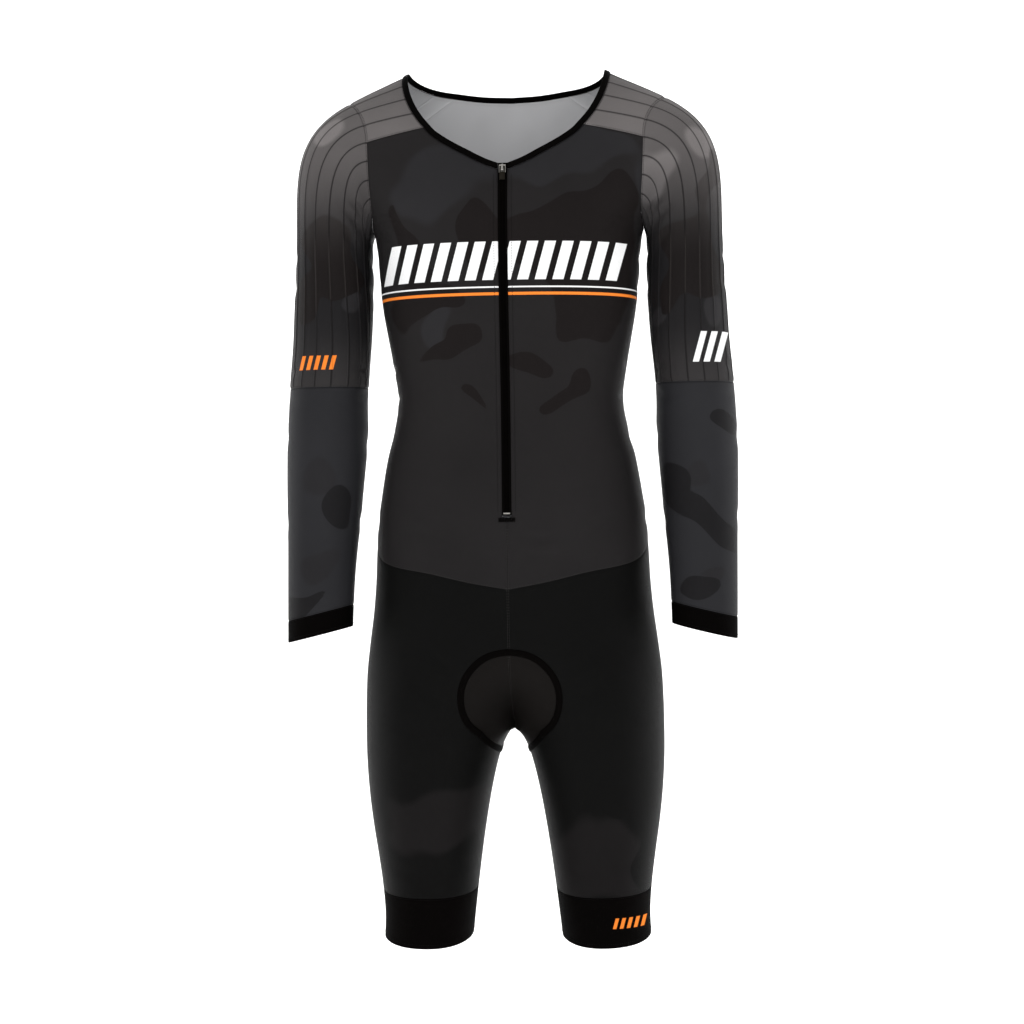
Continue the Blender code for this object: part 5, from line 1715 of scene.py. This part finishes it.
def make_grippers():
    """The wide bands at the legs."""
    t = np.linspace(0, 1, 110)
    rows = []
    for s in graded(GRIPPER_TOP_Z - GRIPPER_HEM_Z, GRID_STEP["gripper"]):
        height = GRIPPER_TOP_Z + (GRIPPER_HEM_Z - GRIPPER_TOP_Z) * s
        tilt = GRIPPER_TOP_TILT + (GRIPPER_HEM_TILT - GRIPPER_TOP_TILT) * s
        rows.append(height + tilt * body(height, t)[:, 1])
    z = np.array(rows)
    t = np.broadcast_to(t, z.shape)
    finishes = (gripper_cloth(), band_cloth())
    outer, normal = body(z, t), body_normal(z, t)
    cloth_pieces("gripper", outer, normal, band_wall(), finishes, ("first_row",), joined_from=0)


def loft(name, rings, finish, closed=False):
    """A bar through rings of points in millimetres, with flat ends unless it is closed."""
    count, sides = rings.shape[:2]
    ids = np.arange(count * sides).reshape(count, sides)
    follow = np.roll(ids, -1, axis=0) if closed else ids[1:]
    start = ids if closed else ids[:-1]
    faces = np.stack([start, np.roll(start, -1, axis=1), np.roll(follow, -1, axis=1), follow], -1)
    faces = faces.reshape(-1, 4).tolist()
    if not closed:
        faces += [ids[0][::-1].tolist(), ids[-1].tolist()]
    mesh = bpy.data.meshes.new(name)
    mesh.from_pydata((rings.reshape(-1, 3) * MM).tolist(), [], faces)
    along = walk(rings.mean(1)) * MM
    uv = np.stack([np.tile(np.arange(sides) * SECTION_STEP, count), np.repeat(along, sides)], -1)
    layer = mesh.uv_layers.new(name="cloth")
    corners = np.zeros(len(mesh.loops), int)
    mesh.loops.foreach_get("vertex_index", corners)
    layer.data.foreach_set("uv", uv[corners].astype(np.float32).ravel())
    mesh.materials.append(finish)
    mesh.shade_smooth()
    mesh.set_sharp_from_angle(angle=math.radians(60))
    first = Vector(rings[0, 0]) * MM
    if sum(face.area * face.normal.dot(face.center - first) for face in mesh.polygons) < 0:
        mesh.flip_normals()
    return new_piece(name, mesh)


def section_rings(line, side, normal, section):
    """A cross-section set up at each point of a line, from its distances to the side and outwards."""
    return np.stack([line + side * a + normal * b for a, b in section], axis=1)


def make_neck_binding():
    """The black binding folded over the neck edge."""
    shoulder = shoulder_lines()
    half, lean = shoulder.neck_seam, shoulder.neck_lean
    share = np.linspace(0, 1, 150)
    lean = unit(interpolated(lean, walk(half) / walk(half)[-1], share))
    half = evenly(half, share)
    seam = np.vstack([half, mirrored(half[-2::-1])])
    lean = np.vstack([lean, mirrored(lean[-2::-1])])
    tangent = unit(np.gradient(seam, axis=0))
    lean = unit(lean - np.sum(lean * tangent, axis=1, keepdims=True) * tangent)
    normal = unit(np.cross(lean, tangent))
    for end in (0, -1):
        lean[end] -= tangent[end] * lean[end, 0] / tangent[end, 0]
        normal[end] -= tangent[end] * normal[end, 0] / tangent[end, 0]
    high = BINDING_WIDTH
    outside = [(-0.28, -0.4), (0.1, 0.35), (1.0, 0.62), (2.6, 0.72), (high - 2.2, 0.7)]
    fold = [(high - 0.9, 0.42), (high - 0.15, -0.1), (high, -0.55), (high - 0.2, -1.05), (high - 1.1, -1.5)]
    behind = [(2.4, -1.62), (0.4, -1.4), (-0.28, -1.0)]
    rings = section_rings(seam, lean, normal, outside + fold + behind)
    on_garment(loft("cloth_neck_binding", rings, band_cloth()), "neck_binding")


def pad_seam_line():
    """The middle of the pad seam on the wearer's left, from the front middle under to the back middle."""
    points, normals = [], []
    for rows, half in ((PAD_SEAM_FRONT, 0), (PAD_SEAM_BACK, 1)):
        t = np.linspace(0, 0.5, 241) if half == 0 else np.linspace(1, 0.5, 241)
        for step in np.linspace(rows["step"][0], rows["step"][-1], 97):
            z = float(look_up(rows, "z", step))
            share = float(np.interp(float(look_up(rows, "around", step)), walk(body(z, t)), t))
            points.append(body(z, share))
            normals.append(body_normal(z, share))
    return np.array(points), np.array(normals)


def make_pad_seam(passes=26):
    """The raised band round the saddle area, evened out along the surface."""
    centre, normal = pad_seam_line()
    shares = np.linspace(0, 1, 190)
    normal = unit(interpolated(normal, walk(centre) / walk(centre)[-1], shares))
    centre = evenly(centre, shares)
    for _ in range(passes):
        even = (centre[:-2] + 2 * centre[1:-1] + centre[2:]) / 4
        shift = even - centre[1:-1]
        centre[1:-1] += shift - np.sum(shift * normal[1:-1], axis=1, keepdims=True) * normal[1:-1]
        normal[1:-1] = unit(normal[:-2] + 2 * normal[1:-1] + normal[2:])
    centre = np.vstack([centre, mirrored(centre[-2:0:-1])])
    normal = np.vstack([normal, mirrored(normal[-2:0:-1])])
    tangent = unit(np.roll(centre, -1, axis=0) - np.roll(centre, 1, axis=0))
    side = unit(np.cross(normal, tangent))
    half = PAD_SEAM_WIDTH / 2
    left = [(-half, -0.2), (-half + 0.3, 0.75), (-half + 1.2, 1.15), (-1.2, 1.35)]
    right = [(1.2, 1.35), (half - 1.2, 1.15), (half - 0.3, 0.75), (half, -0.2)]
    rings = section_rings(centre, side, normal, left + [(0, 1.2)] + right + [(0, -0.5)])
    on_garment(loft("cloth_pad_seam", rings, band_cloth(), closed=True), "pad_seam")


def middle_line(z):
    """Points and forward directions down the middle of the front."""
    z = np.asarray(z, float)
    return body(z, np.zeros_like(z)), body_normal(z, np.zeros_like(z))


def make_zip_tapes():
    """The two tapes of the zip."""
    points, normal = middle_line(np.linspace(ZIP_BOTTOM_Z + 2, ZIP_TOP_Z, 110))
    for name, sign in (("zip_tape_left", 1), ("zip_tape_right", -1)):
        section = [(sign * a, b) for a, b in TAPE_SECTION]
        rings = section_rings(points, LEFT, normal, section)
        on_garment(loft(f"cloth_{name}", rings, nylon()), name)


def tooth(at, normal, sign):
    """Rings of four points through one loop of the coil, which crosses the middle from one tape."""
    rings = []
    for reach, rise, lift, thick in COIL_LOOP:
        centre = at + LEFT * sign * reach + normal * (0.2 + rise / 2) + UP * lift
        for a, b in ((-1, -1), (1, -1), (1, 1), (-1, 1)):
            rings.append(centre + UP * a * thick + normal * b * (rise / 2 + 0.25))
    return rings


def make_zip_coil():
    """The zip's teeth, in turn from the left and the right tape."""
    z = np.arange(ZIP_BOTTOM_Z + 6, SLIDER_TOP_Z - 1, COIL_PITCH / 2)
    at, normal = middle_line(z)
    points, faces = [], []
    for k in range(len(z)):
        base = len(points)
        points += tooth(at[k], normal[k], 1 if k % 2 else -1)
        for i in range(3):
            for j in range(4):
                a, b = base + 4 * i + j, base + 4 * i + (j + 1) % 4
                faces.append((a, b, b + 4, a + 4))
        faces += [(base + 3, base + 2, base + 1, base), (base + 12, base + 13, base + 14, base + 15)]
    mesh = bpy.data.meshes.new("cloth_zip_coil")
    mesh.from_pydata((np.array(points) * MM).tolist(), [], faces)
    mesh.validate()
    mesh.materials.append(plain_material("coil_nylon", paints().black, 0.6, specular=0.0))
    piece = new_piece("cloth_zip_coil", mesh)
    recalculate(piece)
    on_garment(piece, "zip_coil")


def recalculate(piece):
    """Turns a closed mesh's faces outwards."""
    shape = bmesh.new()
    shape.from_mesh(piece.data)
    bmesh.ops.recalc_face_normals(shape, faces=shape.faces)
    shape.to_mesh(piece.data)
    shape.free()


def make_zip_metal():
    """Finishes for the slider, pull, stop and end tab, which keep their solids' shapes."""
    p = paints()
    metal = plain_material("zip_metal", p.metal, 0.34, 1.0, bump=0.3)
    low_end = (p.pull_end, -0.0085, -0.0105)
    pull = plain_material("zip_pull_metal", p.metal, 0.36, 1.0, bump=0.3, low_end=low_end)
    finishes = {"zip_slider": metal, "zip_pull": pull, "zip_stop": metal, "zip_end_tab": band_cloth()}
    for name, finish in finishes.items():
        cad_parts[name].material_slots[0].material = finish


# Studio


def paper():
    """White paper that glows a little, as an overexposed sweep does."""
    finish = bpy.data.materials.new("studio_paper")
    finish.use_nodes = True
    shader = finish.node_tree.nodes["Principled BSDF"]
    shader.inputs["Base Color"].default_value = (0.9, 0.9, 0.9, 1)
    shader.inputs["Emission Color"].default_value = (1, 1, 1, 1)
    shader.inputs["Emission Strength"].default_value = 0.55
    shader.inputs["Roughness"].default_value = 0.9
    shader.inputs["Specular IOR Level"].default_value = 0.1
    return finish


def make_sweep():
    """A paper sweep: the floor, which turns up into a wall behind the suit."""
    mesh = bpy.data.meshes.new("studio_sweep")
    points = [(x, y, z) for x in SWEEP_SIDES for y, z in SWEEP_PROFILE]
    count = len(SWEEP_PROFILE)
    faces = [(k, k + 1, count + k + 1, count + k) for k in range(count - 1)]
    mesh.from_pydata(points, [], faces)
    mesh.shade_smooth()
    mesh.materials.append(paper())
    sweep = new_piece("studio_sweep", mesh)
    bend = sweep.modifiers.new("round", "SUBSURF")
    bend.levels = 3
    bend.render_levels = 3


def make_air():
    """White light from all round, and colours shown as they are."""
    world = bpy.data.worlds.new("studio_air")
    world.use_nodes = True
    background = world.node_tree.nodes["Background"]
    background.inputs["Color"].default_value = (1, 1, 1, 1)
    background.inputs["Strength"].default_value = 0.75
    bpy.context.scene.world = world
    bpy.context.scene.view_settings.view_transform = "Standard"


def make_lights():
    """Soft lights in front, on both sides behind, and above."""
    for name, (at, target, size, power) in LIGHTS.items():
        light = bpy.data.lights.new(name, "AREA")
        light.shape = "RECTANGLE"
        light.size, light.size_y = size
        light.energy = power
        lamp = new_piece(name, light)
        lamp.location = at
        lamp.rotation_euler = (Vector(target) - Vector(at)).to_track_quat("-Z", "Y").to_euler()


def place_camera():
    """The camera at the photograph's angle: nearly square on, a little to the right."""
    turn = math.radians(CAMERA_TURN)
    way = Vector((math.sin(turn), -math.cos(turn), 0))
    camera = new_piece("camera", bpy.data.cameras.new("camera"))
    camera.location = Vector(CAMERA_TARGET) + way * CAMERA_DISTANCE
    camera.rotation_euler = (-way).to_track_quat("-Z", "Y").to_euler()
    camera.rotation_euler.rotate_axis("Z", math.radians(CAMERA_ROLL))
    camera.data.sensor_width = 36
    camera.data.lens = CAMERA_LENS
    bpy.context.scene.camera = camera


def make_studio():
    """The sweep, the light and the camera."""
    make_sweep()
    make_air()
    make_lights()
    place_camera()


# Stitching


def inset_line(name, edge, inset, span=None):
    """A line on a panel beside one of its edges, with its normals. span keeps a range of heights."""
    points, normal = CLOTH_GRIDS[name]
    if edge.endswith("column"):
        points, normal = points.swapaxes(0, 1), normal.swapaxes(0, 1)
    if edge.startswith("last"):
        points, normal = points[::-1], normal[::-1]
    points, normal = points[:BESIDE_ROWS], normal[:BESIDE_ROWS]
    inwards = distances(points)[0]
    line, facing = [], []
    for k in range(points.shape[1]):
        line.append(interpolated(points[:, k], inwards[:, k], inset))
        facing.append(interpolated(normal[:, k], inwards[:, k], inset))
    line, facing = np.array(line), unit(np.array(facing))
    if span is not None:
        keep = (line[:, 2] > span[0]) & (line[:, 2] < span[1])
        line, facing = line[keep], facing[keep]
    return line, facing


def stitches(line, facing, pitch, length, width, height, slant=0.0):
    """Short raised threads along a line: rings of four points for each stitch, in millimetres."""
    at = walk(line)
    count = int(at[-1] / pitch)
    if count < 2:
        return np.zeros((0, 3, 4, 3))
    stops = (np.arange(count) + 0.5) * at[-1] / count
    centre = interpolated(line, at, stops)
    out = unit(interpolated(facing, at, stops))
    ahead = unit(interpolated(line, at, stops + 0.6) - interpolated(line, at, stops - 0.6))
    turn = slant * np.where(np.arange(count) % 2, -1.0, 1.0)[:, None]
    ahead = unit(ahead + unit(np.cross(out, ahead)) * turn)
    across = unit(np.cross(out, ahead))
    rings = []
    for along, rise in ((-0.5, -0.1), (0, height), (0.5, -0.1)):
        middle = centre + ahead * along * length + out * rise
        corners = [middle + across * a * width / 2 + out * b for a, b in THREAD_SECTION]
        rings.append(np.stack(corners, axis=1))
    return np.stack(rings, axis=1)


def seam_run(name, edge, inset, pitch=3.0, length=1.9, width=0.55, height=0.28, span=None, slant=0.0):
    """The stitches beside one edge of a panel."""
    line, facing = inset_line(name, edge, inset, span)
    return stitches(line, facing, pitch, length, width, height, slant)


def make_thread(name, runs, finish):
    """One mesh of all the stitches of a colour."""
    rings = np.concatenate([run for run in runs if len(run)])
    start = (np.arange(len(rings)) * 12)[:, None, None]
    ring = np.arange(4)
    follow = np.roll(ring, -1)
    faces = [np.stack([k + ring, k + follow, k + 4 + follow, k + 4 + ring], -1) for k in (0, 4)]
    faces.append(np.array([[3, 2, 1, 0], [8, 9, 10, 11]]))
    faces = (start + np.vstack(faces)[None]).reshape(-1, 4)
    mesh = bpy.data.meshes.new(name)
    mesh.from_pydata((rings.reshape(-1, 3) * MM).tolist(), [], faces.tolist())
    mesh.materials.append(finish)
    mesh.shade_smooth()
    piece = new_piece(name, mesh)
    recalculate(piece)
    on_garment(piece)


def pale_runs(side):
    """Pale stitches of the hip, middle, elbow and underarm seams on one side."""
    return [
        seam_run(f"front_{side}", "first_row", 1.1),
        seam_run(f"front_{side}", "first_column", 0.9, span=(-560, ZIP_BOTTOM_Z - 9)),
        seam_run(f"shorts_{side}", "first_column", 0.9, span=(CROTCH_Z + 6, -500)),
        seam_run(f"shorts_{side}", "last_column", 0.9, span=(CROTCH_Z + 6, -400)),
        seam_run(f"sleeve_{side}", "last_row", 1.2, 2.6, 1.7),
        seam_run(f"underarm_{side}", "first_column", 0.9, 2.6, 1.6),
        seam_run(f"underarm_{side}", "last_column", 0.9, 2.6, 1.6),
    ]


def dark_runs(side):
    """Dark stitches beside the zip, and of the other seams and hems on one side."""
    front = f"front_{side}"
    return [
        seam_run(f"forearm_{side}", "first_row", 1.4, 2.6, 1.9, 0.8),
        seam_run(front, "first_column", TOPSTITCH, 2.8, 2.0, span=(ZIP_BOTTOM_Z + 3, -92)),
        seam_run(front, "first_column", 1.2, span=(-82, 60)),
        seam_run(front, "last_column", 1.3, 2.4, 1.9, slant=ZIGZAG),
        seam_run(front, "last_row", 1.2, 2.4, 1.9, slant=ZIGZAG),
        *[seam_run(f"yoke_{side}", edge, 1.3, 2.4, 1.8, slant=ZIGZAG) for edge in ALL_EDGES],
        seam_run(f"sleeve_{side}", "first_row", 1.4, 2.4, 1.9, slant=ZIGZAG),
        seam_run(f"forearm_{side}", "last_row", 1.3, 2.6, 1.8),
        seam_run(f"cuff_{side}", "first_row", 1.3, 2.4, 1.7),
        seam_run(f"cuff_{side}", "last_row", 3.0, 2.4, 1.7),
        seam_run(f"shorts_{side}", "last_row", 1.4, 2.6, 1.8),
        seam_run(f"gripper_{side}", "first_row", 1.4, 2.6, 1.8),
        seam_run(f"gripper_{side}", "last_row", 4.0, 2.6, 1.8),
    ]


def make_stitching():
    """The threads along the seams, hems and zip."""
    light, dark = [seam_run("back", "first_row", 1.1)], []
    for side in ("left", "right"):
        light += pale_runs(side)
        dark += dark_runs(side)
    for edge in ("first_column", "last_column", "last_row"):
        dark.append(seam_run("back", edge, 1.3, 2.4, 1.9, slant=ZIGZAG))
    p = paints()
    make_thread("thread_light", light, thread("light_thread", p.thread_light))
    make_thread("thread_dark", dark, thread("dark_thread", p.thread_dark, 0.03))
    make_bar_tack()


def make_bar_tack():
    """Close threads laid across the end tab under the zip."""
    at, normal = middle_line(ZIP_BOTTOM_Z - 3 + np.linspace(-1.9, 1.9, 9))
    runs = []
    for centre, out in zip(at, normal):
        line = np.array([centre + out * 1.25 - LEFT * 8.6, centre + out * 1.25 + LEFT * 8.6])
        runs.append(stitches(line, np.array([out, out]), 2.4, 2.3, 0.5, 0.12))
    make_thread("thread_bar_tack", runs, thread("tack_thread", paints().black))


# Add-on


class SkinsuitSizes(bpy.types.PropertyGroup):
    """Sizes of the cloth and its details."""

    cloth: FloatProperty(
        name="Cloth", description="Thickness of the panels", default=0.0012, unit="LENGTH"
    )
    band: FloatProperty(
        name="Bands", description="Thickness of the cuffs and grippers", default=0.0015, unit="LENGTH"
    )
    rib_width: FloatProperty(
        name="Rib width", description="Width of a knitted rib", default=0.003, unit="LENGTH"
    )
    rib_height: FloatProperty(
        name="Rib height", description="Height of a knitted rib", default=0.0008, unit="LENGTH"
    )
    crease_strength: FloatProperty(
        name="Folds", description="Depth of the soft folds", default=1.0, subtype="FACTOR"
    )


def colour_property(name, description, default):
    """A colour for the sidebar."""
    return FloatVectorProperty(
        name=name, description=description, default=default, subtype="COLOR", size=3, min=0, max=1
    )


class SkinsuitColours(bpy.types.PropertyGroup):
    """Colours of the suit."""

    ground: colour_property("Print ground", "Ground of the camouflage", (0.0130, 0.0119, 0.0122))
    dark: colour_property("Print dark", "Dark patches", (0.0082, 0.0066, 0.0065))
    light: colour_property("Print light", "Light patches", (0.0172, 0.0166, 0.0180))
    sleeve: colour_property("Sleeve", "Ground of the upper sleeves", (0.0098, 0.0094, 0.0102))
    grey: colour_property("Sleeve grey", "Grey of the shoulders", (0.150, 0.138, 0.136))
    # Painted shade along each rib, and a painted highlight along the ribs on the dark patches
    rib_painted_shade: colour_property("Rib line", "Dark line along each rib", (0.0085, 0.0078, 0.0080))
    rib_painted_highlight: colour_property("Pale rib line", "Rib line on the dark patches", (0.0220, 0.0195, 0.0185))
    forearm: colour_property("Forearm", "Ground of the forearms", (0.0190, 0.0190, 0.0210))
    shorts: colour_property("Shorts", "Ground of the shorts", (0.0027, 0.0027, 0.0026))
    leg_light: colour_property("Leg print", "Light patches near the leg hems", (0.0072, 0.0065, 0.0066))
    black: colour_property("Black", "Bindings, bands and zip", (0.0016, 0.0013, 0.0012))
    inside: colour_property("Inside", "Inside of the cloth", (0.56, 0.56, 0.57))
    white_bars: colour_property("White bars", "Bars across the chest", (0.82, 0.82, 0.82))
    orange_bars: colour_property("Orange bars", "Thin line and small bars", (0.85, 0.22, 0.03))
    pad: colour_property("Pad", "Cloth over the seat pad", (0.0056, 0.0048, 0.0044))
    thread_light: colour_property("Pale thread", "Hip, middle and elbow seams", (0.026, 0.0245, 0.0235))
    thread_dark: colour_property("Dark thread", "The other seams", (0.0040, 0.0036, 0.0036))
    pull_end: colour_property("Pull end", "Dark lower end of the zip pull", (0.016, 0.014, 0.011))
    metal: colour_property("Metal", "Slider, pull and stop", (0.30, 0.29, 0.27))


class SKINSUIT_OT_fronts(bpy.types.Operator):
    """Two printed fronts, from the hip seam to the neck"""

    bl_idname = "skinsuit.fronts"
    bl_label = "Fronts"

    def execute(self, context):
        make_fronts()
        return {"FINISHED"}


class SKINSUIT_OT_back(bpy.types.Operator):
    """The back panel"""

    bl_idname = "skinsuit.back"
    bl_label = "Back"

    def execute(self, context):
        make_back()
        return {"FINISHED"}


class SKINSUIT_OT_yokes(bpy.types.Operator):
    """The ribbed yokes over the shoulders"""

    bl_idname = "skinsuit.yokes"
    bl_label = "Yokes"

    def execute(self, context):
        make_yokes()
        return {"FINISHED"}


class SKINSUIT_OT_sleeves(bpy.types.Operator):
    """The ribbed upper sleeves and the plain pieces under the arms"""

    bl_idname = "skinsuit.sleeves"
    bl_label = "Upper Sleeves"

    def execute(self, context):
        make_sleeves()
        return {"FINISHED"}


class SKINSUIT_OT_forearms(bpy.types.Operator):
    """The smooth lower sleeves"""

    bl_idname = "skinsuit.forearms"
    bl_label = "Forearms"

    def execute(self, context):
        make_forearms()
        return {"FINISHED"}


class SKINSUIT_OT_cuffs(bpy.types.Operator):
    """The narrow black cuffs"""

    bl_idname = "skinsuit.cuffs"
    bl_label = "Cuffs"

    def execute(self, context):
        make_cuffs()
        return {"FINISHED"}


class SKINSUIT_OT_shorts(bpy.types.Operator):
    """Both halves of the shorts"""

    bl_idname = "skinsuit.shorts"
    bl_label = "Shorts"

    def execute(self, context):
        make_shorts()
        return {"FINISHED"}


class SKINSUIT_OT_grippers(bpy.types.Operator):
    """The wide bands at the legs"""

    bl_idname = "skinsuit.grippers"
    bl_label = "Leg Grippers"

    def execute(self, context):
        make_grippers()
        return {"FINISHED"}


class SKINSUIT_OT_neck_binding(bpy.types.Operator):
    """The black binding folded over the neck edge"""

    bl_idname = "skinsuit.neck_binding"
    bl_label = "Neck Binding"

    def execute(self, context):
        make_neck_binding()
        return {"FINISHED"}


class SKINSUIT_OT_pad_seam(bpy.types.Operator):
    """The raised band round the saddle area"""

    bl_idname = "skinsuit.pad_seam"
    bl_label = "Pad Seam"

    def execute(self, context):
        make_pad_seam()
        return {"FINISHED"}


class SKINSUIT_OT_zip_chain(bpy.types.Operator):
    """The tapes and teeth of the zip"""

    bl_idname = "skinsuit.zip_chain"
    bl_label = "Zip Chain"

    def execute(self, context):
        make_zip_tapes()
        make_zip_coil()
        return {"FINISHED"}


class SKINSUIT_OT_zip_metal(bpy.types.Operator):
    """The slider, its pull, the stop and the end tab"""

    bl_idname = "skinsuit.zip_metal"
    bl_label = "Slider And Ends"

    def execute(self, context):
        make_zip_metal()
        return {"FINISHED"}


class SKINSUIT_OT_stitching(bpy.types.Operator):
    """The threads along the seams, hems and zip"""

    bl_idname = "skinsuit.stitching"
    bl_label = "Stitching"

    def execute(self, context):
        make_stitching()
        return {"FINISHED"}


class SKINSUIT_OT_studio(bpy.types.Operator):
    """Floor, lights and camera"""

    bl_idname = "skinsuit.studio"
    bl_label = "Studio"

    def execute(self, context):
        make_studio()
        return {"FINISHED"}


OPERATORS = (
    SKINSUIT_OT_fronts,
    SKINSUIT_OT_back,
    SKINSUIT_OT_yokes,
    SKINSUIT_OT_sleeves,
    SKINSUIT_OT_forearms,
    SKINSUIT_OT_cuffs,
    SKINSUIT_OT_shorts,
    SKINSUIT_OT_grippers,
    SKINSUIT_OT_neck_binding,
    SKINSUIT_OT_pad_seam,
    SKINSUIT_OT_zip_chain,
    SKINSUIT_OT_zip_metal,
    SKINSUIT_OT_stitching,
    SKINSUIT_OT_studio,
)


class SKINSUIT_PT_panel(bpy.types.Panel):
    """The suit's pieces in the sidebar"""

    bl_idname = "SKINSUIT_PT_panel"
    bl_label = "Cycling Skinsuit"
    bl_space_type = "VIEW_3D"
    bl_region_type = "UI"
    bl_category = "Skinsuit"

    def draw(self, context):
        for made in OPERATORS:
            self.layout.operator(made.bl_idname)


CLASSES = (SkinsuitSizes, SkinsuitColours, *OPERATORS, SKINSUIT_PT_panel)


def register():
    """Adds the operators, the panel and the two groups of properties."""
    for made in CLASSES:
        bpy.utils.register_class(made)
    bpy.types.Scene.skinsuit_sizes = PointerProperty(type=SkinsuitSizes)
    bpy.types.Scene.skinsuit_colours = PointerProperty(type=SkinsuitColours)


def unregister():
    """Takes them away again."""
    del bpy.types.Scene.skinsuit_colours
    del bpy.types.Scene.skinsuit_sizes
    for made in reversed(CLASSES):
        bpy.utils.unregister_class(made)


def main():
    register()
    bpy.ops.skinsuit.fronts()
    bpy.ops.skinsuit.back()
    bpy.ops.skinsuit.yokes()
    bpy.ops.skinsuit.sleeves()
    bpy.ops.skinsuit.forearms()
    bpy.ops.skinsuit.cuffs()
    bpy.ops.skinsuit.shorts()
    bpy.ops.skinsuit.grippers()
    bpy.ops.skinsuit.neck_binding()
    bpy.ops.skinsuit.pad_seam()
    bpy.ops.skinsuit.zip_chain()
    bpy.ops.skinsuit.zip_metal()
    bpy.ops.skinsuit.stitching()
    bpy.ops.skinsuit.studio()
    bpy.context.view_layer.update()


if __name__ == "__main__":
    main()
